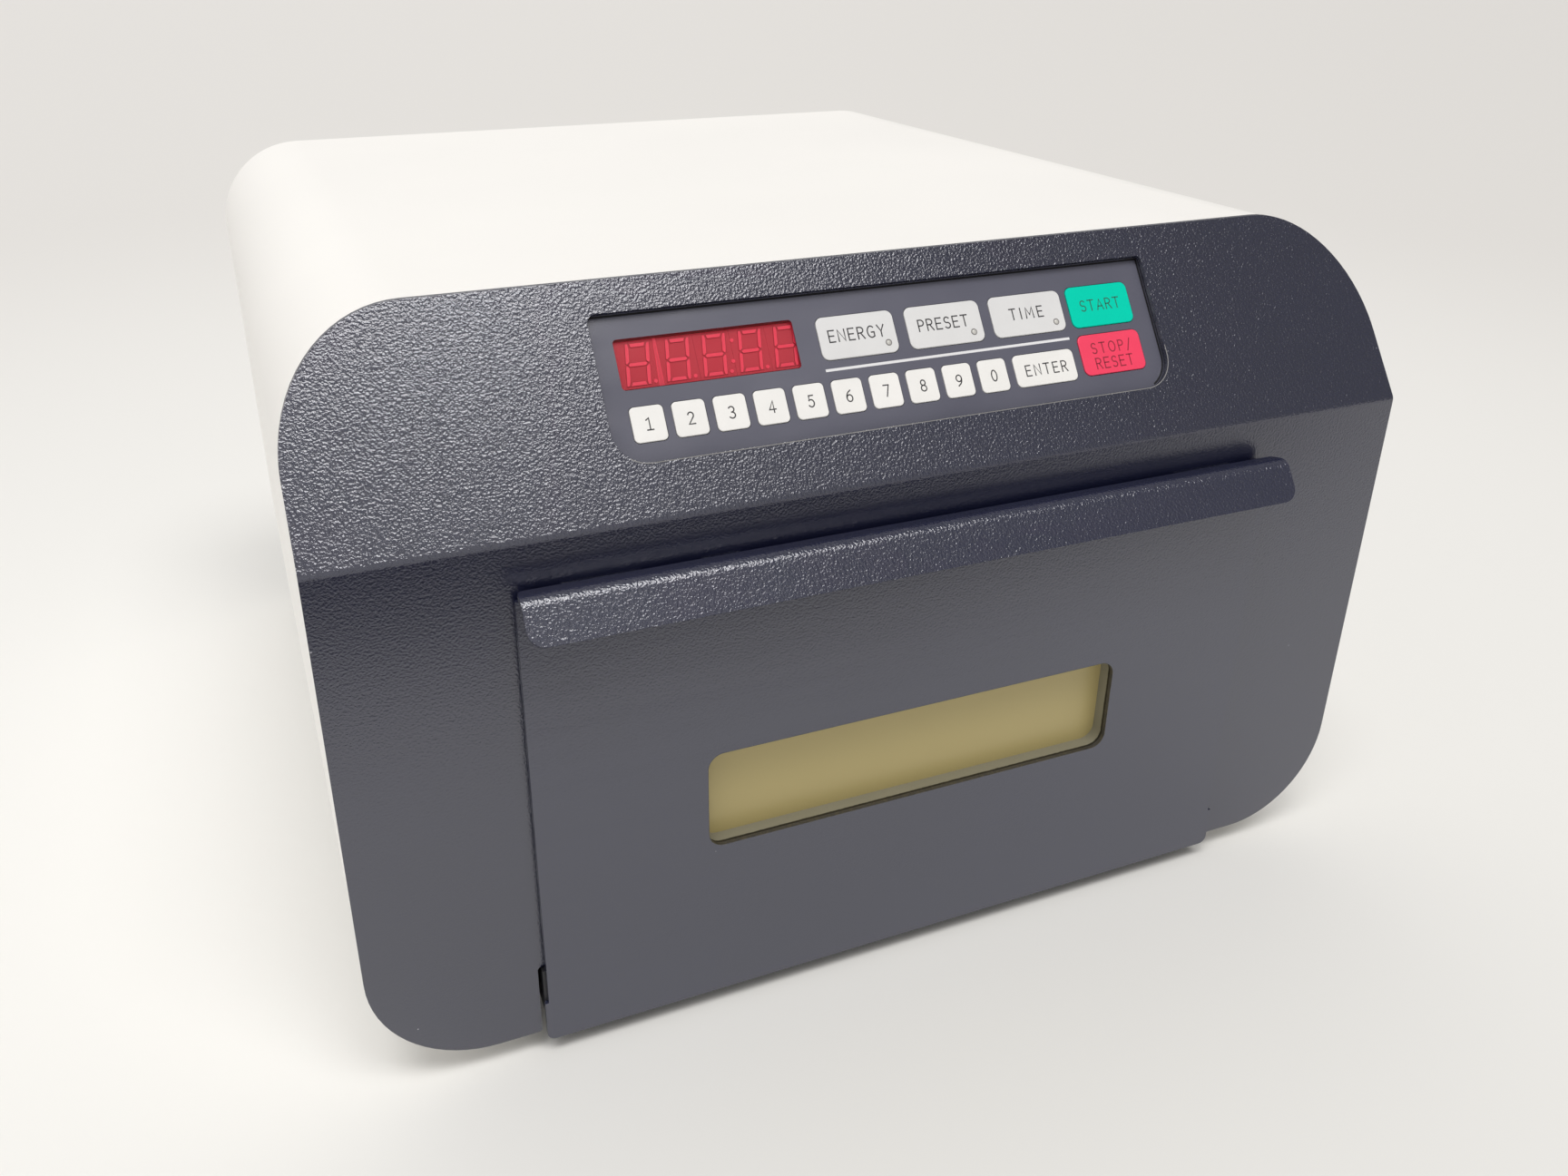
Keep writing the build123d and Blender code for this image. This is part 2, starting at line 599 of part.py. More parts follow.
# inner side of the sheet, from the bottom up, over the top and down the lip
skin_line = [(FY + DI, DOOR_BOT), (FY + DI, DOOR_TOP), (FY + LIP_BEND_V - 0.5, DOOR_TOP + FLANGE_RISE)]
skin_line.append((skin_line[2][0] - LIP_LEN * math.sin(LIP_LEAN), skin_line[2][1] - LIP_LEN * math.cos(LIP_LEAN)))
skin_out = band(skin_line, -T_DOOR)
with BuildPart() as door_skin:
    with BuildSketch(Plane.YZ) as s:
        with BuildLine():
            Polyline(*skin_out, close=True)
        make_face()
        fillet(s.vertices().sort_by_distance(skin_out[1])[0], 2.2)
        fillet(s.vertices().sort_by_distance(skin_out[2])[0], 4.5)
        fillet(s.vertices().sort_by_distance(skin_out[5])[0], 3.0)
        fillet(s.vertices().sort_by_distance(skin_out[6])[0], 0.8)
    extrude(amount=TAB_HW, both=True)
    # the sheet is narrower above the tab
    with BuildSketch(Plane.XY.offset(TAB_TOP)):
        with Locations((-(DOOR_HW + 2.0), FY - 8.0), (DOOR_HW + 2.0, FY - 8.0)):
            Rectangle(4.0, 30.0)
    extrude(amount=200.0, mode=Mode.SUBTRACT)
    # side edges turned back towards the bezel
    with BuildSketch(Plane.XY.offset(36.0)):
        with Locations((-(DOOR_HW - 0.6), FY + (DI - 0.45) / 2 - 0.2), (DOOR_HW - 0.6, FY + (DI - 0.45) / 2 - 0.2)):
            Rectangle(1.2, -DI - 0.45 + 0.4)
    extrude(amount=172.0 - 36.0)
    # window opening
    with BuildSketch(front(4.0)):
        with Locations((0, (WIN_Z0 + WIN_Z1) / 2)):
            RectangleRounded(2 * WIN_HW, WIN_Z1 - WIN_Z0, WIN_R)
    extrude(amount=10.0, mode=Mode.SUBTRACT)
    # relieved back corners of the top flange
    with BuildSketch(Plane.XY.offset(173.5)):
        for sx in (-1, 1):
            with BuildLine():
                Polyline((sx * (DOOR_HW + 1), FY + DI + 1), (sx * (DOOR_HW - 5.0), FY + DI + 1),
                         (sx * (DOOR_HW - 5.0), FY + DI), (sx * (DOOR_HW - 2.4), FY + DI - 0.8),
                         (sx * (DOOR_HW - 0.7), FY + DI - 2.6), (sx * DOOR_HW, FY + DI - 5.2),
                         (sx * (DOOR_HW + 1), FY + DI - 5.2), close=True)
            make_face()
    extrude(amount=10.0, mode=Mode.SUBTRACT)
    # rounded lower corners of the lip
    lips = door_skin.edges().filter_by(
        lambda e: abs(e.length - T_DOOR) < 0.02 and e.center().Y < FY - 12.0 and e.center().Z < 168.0
        and abs(abs(e.center().X) - DOOR_HW) < 0.05)
    fillet(lips, 5.5)
    bots = door_skin.edges().filter_by(Axis.Y).filter_by(
        lambda e: abs(abs(e.center().X) - TAB_HW) < 0.05 and abs(e.center().Z - DOOR_BOT) < 0.05)
    fillet(bots, 3.0)
put(door_skin, "door_skin")

GASKET = 5.5
T_WIN = 1.5
with BuildPart() as window_gasket:
    with BuildSketch(front(DI + GASKET)):
        with Locations((0, (WIN_Z0 + WIN_Z1) / 2)):
            RectangleRounded(2 * WIN_HW + 20.0, WIN_Z1 - WIN_Z0 + 20.0, WIN_R + 6.0)
            RectangleRounded(2 * WIN_HW + 0.2, WIN_Z1 - WIN_Z0 + 0.2, WIN_R, mode=Mode.SUBTRACT)
    extrude(amount=GASKET)
put(window_gasket, "window_gasket")

with BuildPart() as door_window:
    with BuildSketch(front(DI + GASKET + T_WIN)):
        with Locations((0, (WIN_Z0 + WIN_Z1) / 2)):
            RectangleRounded(2 * WIN_HW + 20.0, WIN_Z1 - WIN_Z0 + 20.0, WIN_R + 6.0)
    extrude(amount=T_WIN)
put(door_window, "door_window")

LIN_V = DI + GASKET + T_WIN            # front of the liner's flat
LIN_HW, LIN_Z0, LIN_Z1 = 127.5, 44.0, 167.0
LIN_SCREWS = [(sx * 118.0, z) for sx in (-1, 1) for z in (53.0, 158.0)]
with BuildPart() as door_liner:
    with BuildSketch(front(LIN_V + 1.0)):
        with Locations((0, (LIN_Z0 + LIN_Z1) / 2)):
            RectangleRounded(2 * LIN_HW, LIN_Z1 - LIN_Z0, 4.0)
    extrude(amount=LIN_V + 1.0 - DI)
    with BuildSketch(front(LIN_V)):
        with Locations((0, (LIN_Z0 + LIN_Z1) / 2)):
            RectangleRounded(2 * LIN_HW - 2.0, LIN_Z1 - LIN_Z0 - 2.0, 3.0)
    extrude(amount=LIN_V - DI + 1.0, mode=Mode.SUBTRACT)
    with BuildSketch(front(LIN_V + 3.0)):
        with Locations((0, (WIN_Z0 + WIN_Z1) / 2)):
            RectangleRounded(2 * WIN_HW, WIN_Z1 - WIN_Z0, WIN_R)
        with Locations(*LIN_SCREWS):
            Circle(1.7)
    extrude(amount=6.0, mode=Mode.SUBTRACT)
put(door_liner, "door_liner")

with BuildPart() as door_screws:
    with BuildSketch(front(LIN_V + 2.6)):
        with Locations(*LIN_SCREWS):
            Circle(3.0)
    extrude(amount=1.6)
    with BuildSketch(front(LIN_V + 1.0)):
        with Locations(*LIN_SCREWS):
            Circle(1.45)
    extrude(amount=LIN_V + 1.0 - DI)
    # nuts on the studs that hold the hinge ears
    with BuildSketch(front(DI + 1.5 + 1.8)):
        with Locations(*[(sx * x, 25.0) for sx in (-1, 1) for x in (119.0, 129.0)]):
            RegularPolygon(2.9, 6)
    extrude(amount=1.8)
put(door_screws, "door_screws")

EAR_X0, EAR_X1 = 136.3, 137.8
with BuildPart() as hinge_ears:
    with BuildSketch(Plane.YZ.offset(EAR_X0)):
        with BuildLine():
            Polyline((FY + DI, 17.5), (FY + DI, 35.2), (FY + 2.0, 35.2), (FY + PIV_V + 3.2, PIV_Z + 6.2),
                     (FY + PIV_V + 6.4, PIV_Z + 2.8), (FY + PIV_V + 6.4, PIV_Z - 2.8),
                     (FY + PIV_V + 3.2, PIV_Z - 6.2), (FY + 2.0, 17.5), close=True)
        make_face()
        with Locations((FY + PIV_V, PIV_Z)):
            Circle(PIN_R + 0.06, mode=Mode.SUBTRACT)
    extrude(amount=EAR_X1 - EAR_X0)
    with BuildSketch(front(DI + 1.5)):
        with Locations(((112.0 + EAR_X1) / 2, (17.5 + 35.2) / 2)):
            Rectangle(EAR_X1 - 112.0, 35.2 - 17.5)
    extrude(amount=1.5)
    mirror(about=Plane.YZ)
put(hinge_ears, "hinge_ears")

with BuildPart() as strike_plates:
    with BuildSketch(front(-0.4)):
        with Locations((-110.0, 172.6), (110.0, 172.6)):
            Rectangle(24.0, 3.6)
        with Locations((-72.0, 172.6)):
            Rectangle(12.0, 3.6)
    extrude(amount=DI * -1 - 0.4)
put(strike_plates, "strike_plates")

# ================================================================================
# Hinge brackets and pins on the body
# ================================================================================
BR_X0, BR_X1 = 138.7, 140.7
with BuildPart() as hinge_brackets:
    with BuildSketch(Plane.YZ.offset(BR_X0)):
        with BuildLine():
            Polyline((FY + T_BEZ, 16.0), (FY + T_BEZ, 38.0), (FY + 62.0, 38.0), (FY + 62.0, PAN_Z + 1.5),
                     (FY + 33.0, PAN_Z + 1.5), (FY + 28.0, 16.0), close=True)
        make_face()
        with Locations((FY + PIV_V, PIV_Z)):
            Circle(PIN_R + 0.02, mode=Mode.SUBTRACT)
    extrude(amount=BR_X1 - BR_X0)
    with BuildSketch(Plane.XY.offset(PAN_Z + 1.5)):
        with Locations(((BR_X1 + 151.0) / 2, FY + (34.0 + 44.0) / 2)):
            Rectangle(151.0 - BR_X1, 10.0)
        with Locations(((BR_X1 + 151.0) / 2, FY + (53.0 + 62.0) / 2)):
            Rectangle(151.0 - BR_X1, 9.0)
    extrude(amount=2.0)
    with BuildSketch(front(T_BEZ + 2.0)):
        with Locations(((BR_X1 + 151.0) / 2, 27.0)):
            Rectangle(151.0 - BR_X1, 22.0)
    extrude(amount=2.0)
    mirror(about=Plane.YZ)
put(hinge_brackets, "hinge_brackets")

with BuildPart() as hinge_pins:
    with BuildSketch(Plane.YZ.offset(135.9)):
        with Locations((FY + PIV_V, PIV_Z)):
            Circle(PIN_R)
    extrude(amount=142.5 - 135.9)
    with BuildSketch(Plane.YZ.offset(134.3)):
        with Locations((FY + PIV_V, PIV_Z)):
            Circle(4.2)
    extrude(amount=1.6)
    mirror(about=Plane.YZ)
put(hinge_pins, "hinge_pins")

# ================================================================================
# Mains inlet, fuse drawer and power switch, on the rear panel
# ================================================================================
SOCK_Z = INLET_Z + 6.0
with BuildPart() as power_inlet:
    with BuildSketch(front(383.2)):
        with Locations((INLET_X, INLET_Z)):
            RectangleRounded(52.0, 46.0, 4.0)
    extrude(amount=2.2)
    with BuildSketch(front(381.0)):
        with Locations((INLET_X, INLET_Z)):
            Rectangle(44.4, 38.4)
    extrude(amount=29.0)
    # socket cavity with two clipped corners
    with BuildSketch(front(384.0)) as s:
        with Locations((INLET_X, SOCK_Z)):
            Rectangle(24.6, 16.6)
        chamfer(s.vertices().group_by(Axis.Y)[-1], 4.5)
    extrude(amount=21.0, mode=Mode.SUBTRACT)
    # pocket for the fuse drawer
    with BuildSketch(front(384.0)):
        with Locations((INLET_X, INLET_Z - 12.0)):
            Rectangle(27.0, 9.0)
    extrude(amount=22.0, mode=Mode.SUBTRACT)
put(power_inlet, "power_inlet")

with BuildPart() as inlet_pins:
    with BuildSketch(front(377.5)):
        with Locations((INLET_X - 7.0, SOCK_Z - 2.0), (INLET_X + 7.0, SOCK_Z - 2.0), (INLET_X, SOCK_Z + 2.0)):
            Rectangle(2.0, 4.0)
    extrude(amount=14.5)
put(inlet_pins, "inlet_pins")

with BuildPart() as fuse_drawer:
    with BuildSketch(front(383.3)):
        with Locations((INLET_X, INLET_Z - 12.0)):
            Rectangle(26.2, 8.2)
    extrude(amount=18.0)
    with BuildSketch(front(V_OUT)):
        with Locations((INLET_X, INLET_Z - 12.0)):
            RectangleRounded(29.0, 10.6, 1.2)
    extrude(amount=V_OUT - 383.3)
    # pocket for the fuse, open upwards
    with BuildSketch(Plane.XY.offset(INLET_Z - 12.0 - 2.6)):
        with Locations((INLET_X, FY + 373.0)):
            Rectangle(21.4, 6.6)
    extrude(amount=10.0, mode=Mode.SUBTRACT)
    # finger notch in the lip
    with BuildSketch(front(V_OUT + 1)):
        with Locations((INLET_X, INLET_Z - 12.0)):
            SlotOverall(9.0, 2.4)
    extrude(amount=1.8, mode=Mode.SUBTRACT)
put(fuse_drawer, "fuse_drawer")

with BuildPart() as fuse:
    with BuildSketch(Plane.YZ.offset(INLET_X - 10.2)):
        with Locations((FY + 373.0, INLET_Z - 12.0)):
            Circle(2.6)
    extrude(amount=20.4)
put(fuse, "fuse")

with BuildPart() as switch_housing:
    with BuildSketch(front(383.0)):
        with Locations((SW_X, SW_Z)):
            RectangleRounded(26.0, 34.0, 2.0)
    extrude(amount=2.0)
    with BuildSketch(front(381.0)):
        with Locations((SW_X, SW_Z)):
            Rectangle(22.0, 30.0)
    extrude(amount=20.0)
    with BuildSketch(front(384.0)):
        with Locations((SW_X, SW_Z)):
            Rectangle(17.0, 26.0)
    extrude(amount=12.0, mode=Mode.SUBTRACT)
put(switch_housing, "switch_housing")

# rocker, at rest with its lower end pressed in
ROCK_V, ROCK_TILT = 378.6, math.radians(8.0)


def rock(dv, dz):
    c, t = math.cos(ROCK_TILT), math.sin(ROCK_TILT)
    return (FY + ROCK_V + dv * c - dz * t * -1, SW_Z + dz * c - dv * t)


with BuildPart() as power_rocker:
    with BuildSketch(Plane.YZ.offset(SW_X - 8.2)):
        with BuildLine():
            Polyline(rock(4.6, 11.4), rock(3.2, 6.0), rock(2.7, 0.0), rock(3.2, -6.0), rock(4.6, -11.4),
                     rock(0.5, -11.8), rock(-3.0, -5.0), rock(-3.4, 0.0), rock(-3.0, 5.0), rock(0.5, 11.8),
                     close=True)
        make_face()
    extrude(amount=16.4)
put(power_rocker, "power_rocker")

# ================================================================================
# Feet and their screws, cover screws
# ================================================================================
FEET = [(sx * 146.0, FY + v) for sx in (-1, 1) for v in (48.0, 352.0)]
with BuildPart() as rubber_feet:
    for x, y in FEET:
        with BuildSketch(Plane.XY.offset(CZ0)):
            with Locations((x, y)):
                Circle(9.4)
        extrude(amount=-CZ0, taper=7.0)
    with BuildSketch(Plane.XY):
        with Locations(*FEET):
            Circle(4.6)
    extrude(amount=4.0, mode=Mode.SUBTRACT)
    with BuildSketch(Plane.XY):
        with Locations(*FEET):
            Circle(2.3)
    extrude(amount=10.0, mode=Mode.SUBTRACT)
put(rubber_feet, "rubber_feet")

with BuildPart() as foot_screws:
    with BuildSketch(Plane.XY.offset(1.4)):
        with Locations(*FEET):
            Circle(3.8)
    extrude(amount=2.6)
    with BuildSketch(Plane.XY.offset(4.0)):
        with Locations(*FEET):
            Circle(2.0)
    extrude(amount=10.0)
put(foot_screws, "foot_screws")

COVER_SCREWS = [(sx * 146.0, FY + v) for sx in (-1, 1) for v in (100.0, 200.0, 300.0)]
with BuildPart() as cover_screws:
    with BuildSketch(Plane.XY.offset(CZ0 - 1.8)):
        with Locations(*COVER_SCREWS):
            Circle(3.1)
    extrude(amount=1.8)
    with BuildSketch(Plane.XY.offset(CZ0)):
        with Locations(*COVER_SCREWS):
            Circle(1.45)
    extrude(amount=7.0)
put(cover_screws, "cover_screws")

print("front face y", FY, "lean", math.degrees(LEAN), "hinge", FY + PIV_V, PIV_Z)
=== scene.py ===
import bpy
import json
import math
from mathutils import Matrix, Vector


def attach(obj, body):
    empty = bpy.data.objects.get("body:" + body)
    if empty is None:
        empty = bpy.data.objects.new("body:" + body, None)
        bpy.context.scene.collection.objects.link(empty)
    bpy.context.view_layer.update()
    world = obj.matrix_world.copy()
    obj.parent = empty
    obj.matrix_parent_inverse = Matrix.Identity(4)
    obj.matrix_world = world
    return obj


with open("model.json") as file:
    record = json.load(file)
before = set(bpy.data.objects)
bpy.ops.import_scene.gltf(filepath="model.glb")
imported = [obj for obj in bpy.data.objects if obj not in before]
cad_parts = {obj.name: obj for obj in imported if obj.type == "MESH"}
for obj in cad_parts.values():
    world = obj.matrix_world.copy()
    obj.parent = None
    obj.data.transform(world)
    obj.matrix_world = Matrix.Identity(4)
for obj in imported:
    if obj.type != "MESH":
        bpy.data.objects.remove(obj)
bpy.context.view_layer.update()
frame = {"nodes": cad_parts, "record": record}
NODES = frame["nodes"]

# ---- the part's own dimensions, millimetres ---------------------------------
FY = -184.12                  # y of the upright front face
ZC, SET, H = 190.0, 42.3, 252.0
LEAN = math.atan2(SET, H - ZC)
SA, CA = math.sin(LEAN), math.cos(LEAN)
KEY_TOP = -2.15               # faces of the keys and of the overlay
OVL_TOP = -2.5


def mm(x, y, z):
    return Vector((x / 1000.0, y / 1000.0, z / 1000.0))


def on_slope(x, s, d=0.0):
    """A point x along the crease and s up the leaning face, d out of it."""
    return mm(x, FY + s * SA - d * CA, ZC + s * CA + d * SA)


# =============================================================================
# Material helpers
# =============================================================================
class Mat:
    def __init__(self, name, base=(0.5, 0.5, 0.5), rough=0.5, metal=0.0, spec=None):
        self.m = bpy.data.materials.new(name)
        self.m.use_nodes = True
        self.nt = self.m.node_tree
        self.b = self.nt.nodes["Principled BSDF"]
        self.b.inputs["Base Color"].default_value = (*base, 1.0)
        self.b.inputs["Roughness"].default_value = rough
        self.b.inputs["Metallic"].default_value = metal
        if spec is not None:
            self.b.inputs["Specular IOR Level"].default_value = spec
        self.coord = self.nt.nodes.new("ShaderNodeTexCoord").outputs["Object"]
        self.last_normal = None

    def node(self, kind, **props):
        n = self.nt.nodes.new(kind)
        for k, v in props.items():
            setattr(n, k, v)
        return n

    def link(self, a, b):
        self.nt.links.new(a, b)

    def mapped(self, scale=(1, 1, 1), rot=(0, 0, 0), loc=(0, 0, 0)):
        n = self.node("ShaderNodeMapping")
        n.inputs["Scale"].default_value = scale
        n.inputs["Rotation"].default_value = rot
        n.inputs["Location"].default_value = loc
        self.link(self.coord, n.inputs["Vector"])
        return n.outputs["Vector"]

    def noise(self, scale, detail=2.0, rough=0.5, distort=0.0, vec=None):
        n = self.node("ShaderNodeTexNoise")
        n.inputs["Scale"].default_value = scale
        n.inputs["Detail"].default_value = detail
        n.inputs["Roughness"].default_value = rough
        n.inputs["Distortion"].default_value = distort
        self.link(vec if vec is not None else self.coord, n.inputs["Vector"])
        return n.outputs["Fac"]

    def voronoi(self, scale, feature="F1", out="Distance", vec=None, randomness=1.0):
        n = self.node("ShaderNodeTexVoronoi", feature=feature)
        n.inputs["Scale"].default_value = scale
        n.inputs["Randomness"].default_value = randomness
        self.link(vec if vec is not None else self.coord, n.inputs["Vector"])
        return n.outputs[out]

    def range(self, value, a, b, lo, hi, smooth=False):
        n = self.node("ShaderNodeMapRange")
        if smooth:
            n.interpolation_type = "SMOOTHSTEP"
        n.inputs["From Min"].default_value = a
        n.inputs["From Max"].default_value = b
        n.inputs["To Min"].default_value = lo
        n.inputs["To Max"].default_value = hi
        self.link(value, n.inputs["Value"])
        return n.outputs["Result"]

    def math(self, op, a, b):
        n = self.node("ShaderNodeMath", operation=op)
        for i, v in enumerate((a, b)):
            if isinstance(v, (int, float)):
                n.inputs[i].default_value = v
            else:
                self.link(v, n.inputs[i])
        return n.outputs["Value"]

    def mix(self, fac, a, b):
        """A colour between a and b; each is a colour or a socket."""
        n = self.node("ShaderNodeMix", data_type="RGBA")
        self.link(fac, n.inputs["Factor"]) if not isinstance(fac, (int, float)) else None
        if isinstance(fac, (int, float)):
            n.inputs["Factor"].default_value = fac
        for sock, v in ((n.inputs[6], a), (n.inputs[7], b)):
            if isinstance(v, tuple):
                sock.default_value = (*v, 1.0)
            else:
                self.link(v, sock)
        return n.outputs[2]

    def colour(self, sock):
        self.link(sock, self.b.inputs["Base Color"])

    def rough(self, sock):
        self.link(sock, self.b.inputs["Roughness"])

    def bump(self, height, distance, strength=1.0):
        n = self.node("ShaderNodeBump")
        if isinstance(strength, float):
            n.inputs["Strength"].default_value = strength
        else:
            self.link(strength, n.inputs["Strength"])
        n.inputs["Distance"].default_value = distance
        self.link(height, n.inputs["Height"])
        if self.last_normal is not None:
            self.link(self.last_normal, n.inputs["Normal"])
        self.last_normal = n.outputs["Normal"]
        self.link(self.last_normal, self.b.inputs["Normal"])


def powder(name, dark, light, grain=900.0, depth=0.00026, rough=(0.2, 0.23), painted_glint_amount=0.3, streak=0.0, window=False, flat=0.6):
    """Textured powder coat: fine leather grain, slow drift of tone, fine painted glints (lighter specks in the base
    colour standing in for sparkle), dust, and paler sheet edges."""
    t = Mat(name, rough=0.22, spec=0.57)
    t.b.inputs["IOR"].default_value = 2.0
    t.b.inputs["Specular Tint"].default_value = (0.95, 0.955, 1.0, 1.0)
    slow = t.noise(7.0, 4.0, 0.6)
    g = t.noise(grain, 1.2, 0.5)
    base = t.mix(t.range(slow, 0.32, 0.68, 0.0, 1.0), dark, light)
    pit = tuple(c * 0.7 for c in dark)
    base = t.mix(t.range(g, 0.25, 0.5, 0.5, 0.0), base, pit)
    # painted glints: lighter specks in the base colour where the finest grain noise peaks, standing in for light
    # sparkling on the grain
    fine = t.noise(grain * 1.9, 1.0, 0.5)
    painted_glint = tuple(min(1.0, c * 1.5 + 0.004) for c in light)
    base = t.mix(t.math("MULTIPLY", t.range(fine, 0.60, 0.72, 0.0, 1.0, True), painted_glint_amount), base, painted_glint)
    dust = t.voronoi(46.0)
    base = t.mix(t.math("MULTIPLY", t.range(dust, 0.008, 0.014, 1.0, 0.0), 0.8), base, (0.45, 0.46, 0.48))
    # thin sheet edges, where neither the normal's y nor z is large enough to be a face
    n = t.node("ShaderNodeSeparateXYZ")
    t.link(t.node("ShaderNodeTexCoord").outputs["Normal"], n.inputs["Vector"])
    side = t.range(t.math("ABSOLUTE", n.outputs["X"], 0.0), 0.85, 0.97, 0.0, 1.0)
    under = t.range(n.outputs["Z"], -0.97, -0.9, 1.0, 0.0)
    edge = t.math("MAXIMUM", side, under)
    # the edge faces turned sideways or downward, made paler in noisy patches
    pale_edge_patches = t.math("MULTIPLY", edge, t.range(t.noise(60.0, 4.0, 0.7), 0.45, 0.62, 0.1, 0.55))
    base = t.mix(pale_edge_patches, base, (0.16, 0.165, 0.185))
    r = t.range(t.noise(11.0, 4.0, 0.6), 0.3, 0.7, rough[0], rough[1])
    r = t.math("ADD", r, t.range(g, 0.25, 0.5, 0.05, 0.0))
    if streak:
        wiped = t.noise(1.0, 4.0, 0.65, vec=t.mapped((6.0, 6.0, 120.0), rot=(0.0, 0.05, 0.0)))
        r = t.math("ADD", r, t.range(wiped, 0.4, 0.7, -streak, streak))
    if window:
        # the cut edge round the window opening and a thin rim of face beside it, near-black with a brown tone
        v = t.node("ShaderNodeVectorMath", operation="SUBTRACT")
        t.link(t.coord, v.inputs[0])
        v.inputs[1].default_value = (0.0, 0.0, 0.08735)
        v2 = t.node("ShaderNodeVectorMath", operation="MULTIPLY")
        t.link(v.outputs["Vector"], v2.inputs[0])
        v2.inputs[1].default_value = (1.0, 0.0, 1.0)
        v3 = t.node("ShaderNodeVectorMath", operation="ABSOLUTE")
        t.link(v2.outputs["Vector"], v3.inputs[0])
        v4 = t.node("ShaderNodeVectorMath", operation="SUBTRACT")
        t.link(v3.outputs["Vector"], v4.inputs[0])
        v4.inputs[1].default_value = (0.0734, 0.0, 0.01275)
        v5 = t.node("ShaderNodeVectorMath", operation="MAXIMUM")
        t.link(v4.outputs["Vector"], v5.inputs[0])
        v5.inputs[1].default_value = (0.0, 0.0, 0.0)
        v6 = t.node("ShaderNodeVectorMath", operation="LENGTH")
        t.link(v5.outputs["Vector"], v6.inputs[0])
        d = v6.outputs["Value"]
        ragged = t.math("MULTIPLY", t.noise(700.0, 2.0, 0.6), 0.00045)
        cut = t.range(t.math("SUBTRACT", d, ragged), 0.0054, 0.0055, 1.0, 0.0)
        tone = t.mix(t.range(t.noise(520.0, 3.0, 0.7), 0.45, 0.7, 0.0, 1.0), (0.006, 0.005, 0.004), (0.045, 0.035, 0.016))
        base = t.mix(cut, base, tone)
        r = t.math("ADD", r, t.math("MULTIPLY", cut, 0.35))
    t.colour(base)
    t.rough(r)
    # the coat flows out smoother on the large upright faces
    upright = t.range(n.outputs["Y"], -0.995, -0.93, flat, 1.0, True)
    t.bump(g, depth, upright)
    t.bump(t.noise(grain * 2.6, 1.0, 0.5), depth * 0.12)
    return t.m


def plastic(name, col, rough=0.45, var=0.12, peel=900.0, depth=0.000012, tint=None, coat=0.0):
    """Moulded or printed plastic: slight drift of colour, worn sheen and a fine surface."""
    t = Mat(name, col, rough)
    b = tint or tuple(min(1.0, c * (1 + var)) for c in col)
    a = tuple(c * (1 - var) for c in col)
    t.colour(t.mix(t.range(t.noise(35.0, 4.0, 0.6), 0.3, 0.7, 0.0, 1.0), a, b))
    t.rough(t.range(t.noise(60.0, 3.0, 0.6), 0.3, 0.7, rough * 0.85, rough * 1.2))
    t.bump(t.noise(peel, 2.0, 0.5), depth)
    if coat:
        t.b.inputs["Coat Weight"].default_value = coat
        t.b.inputs["Coat Roughness"].default_value = 0.15
    return t.m


def sheet_metal(name, col, rough=(0.22, 0.38), along=(2.0, 900.0, 900.0), depth=0.000006, spangle=0.0):
    """Bare or plated sheet: rolling marks along one direction, smudges, and crystals if plated."""
    t = Mat(name, col, 0.3, 1.0)
    v = t.mapped(along)
    lines = t.noise(1.0, 3.0, 0.6, vec=v)
    smudge = t.noise(22.0, 4.0, 0.6)
    dark = tuple(c * 0.86 for c in col)
    c = t.mix(t.range(lines, 0.3, 0.7, 0.0, 1.0), dark, col)
    if spangle:
        cell = t.voronoi(110.0, out="Color")
        bw = t.node("ShaderNodeRGBToBW")
        t.link(cell, bw.inputs["Color"])
        c = t.mix(t.math("MULTIPLY", bw.outputs["Val"], spangle), c, tuple(x * 0.72 for x in col))
    t.colour(c)
    t.rough(t.range(t.math("ADD", t.math("MULTIPLY", lines, 0.5), t.math("MULTIPLY", smudge, 0.5)), 0.3, 0.7, rough[0], rough[1]))
    t.bump(lines, depth)
    return t.m


def clear(name, col, alpha, rough=0.06, smear=0.05):
    """Clear sheet or tube: tinted, glossy, with faint smears in its sheen."""
    t = Mat(name, col, rough)
    t.b.inputs["Alpha"].default_value = alpha
    t.b.inputs["Coat Weight"].default_value = 0.5
    t.b.inputs["Coat Roughness"].default_value = 0.05
    n = t.noise(28.0, 4.0, 0.6)
    t.rough(t.range(n, 0.35, 0.7, rough, rough + smear))
    t.colour(t.mix(t.range(t.noise(12.0, 3.0, 0.6), 0.3, 0.7, 0.0, 1.0), tuple(c * 0.95 for c in col), tuple(min(1.0, c * 1.05) for c in col)))
    t.bump(t.noise(55.0, 2.0, 0.5), 0.00001)
    return t.m


M = {}
M["front_coat"] = powder("front_coat", (0.0085, 0.0100, 0.030), (0.0110, 0.0130, 0.037), 1250.0, 0.00022, (0.19, 0.21), 0.3, flat=0.4)
M["door_coat"] = powder("door_coat", (0.0085, 0.0105, 0.034), (0.0110, 0.0135, 0.041), 1280.0, 0.00021, (0.19, 0.21), 0.3, streak=0.028, window=True, flat=0.3)

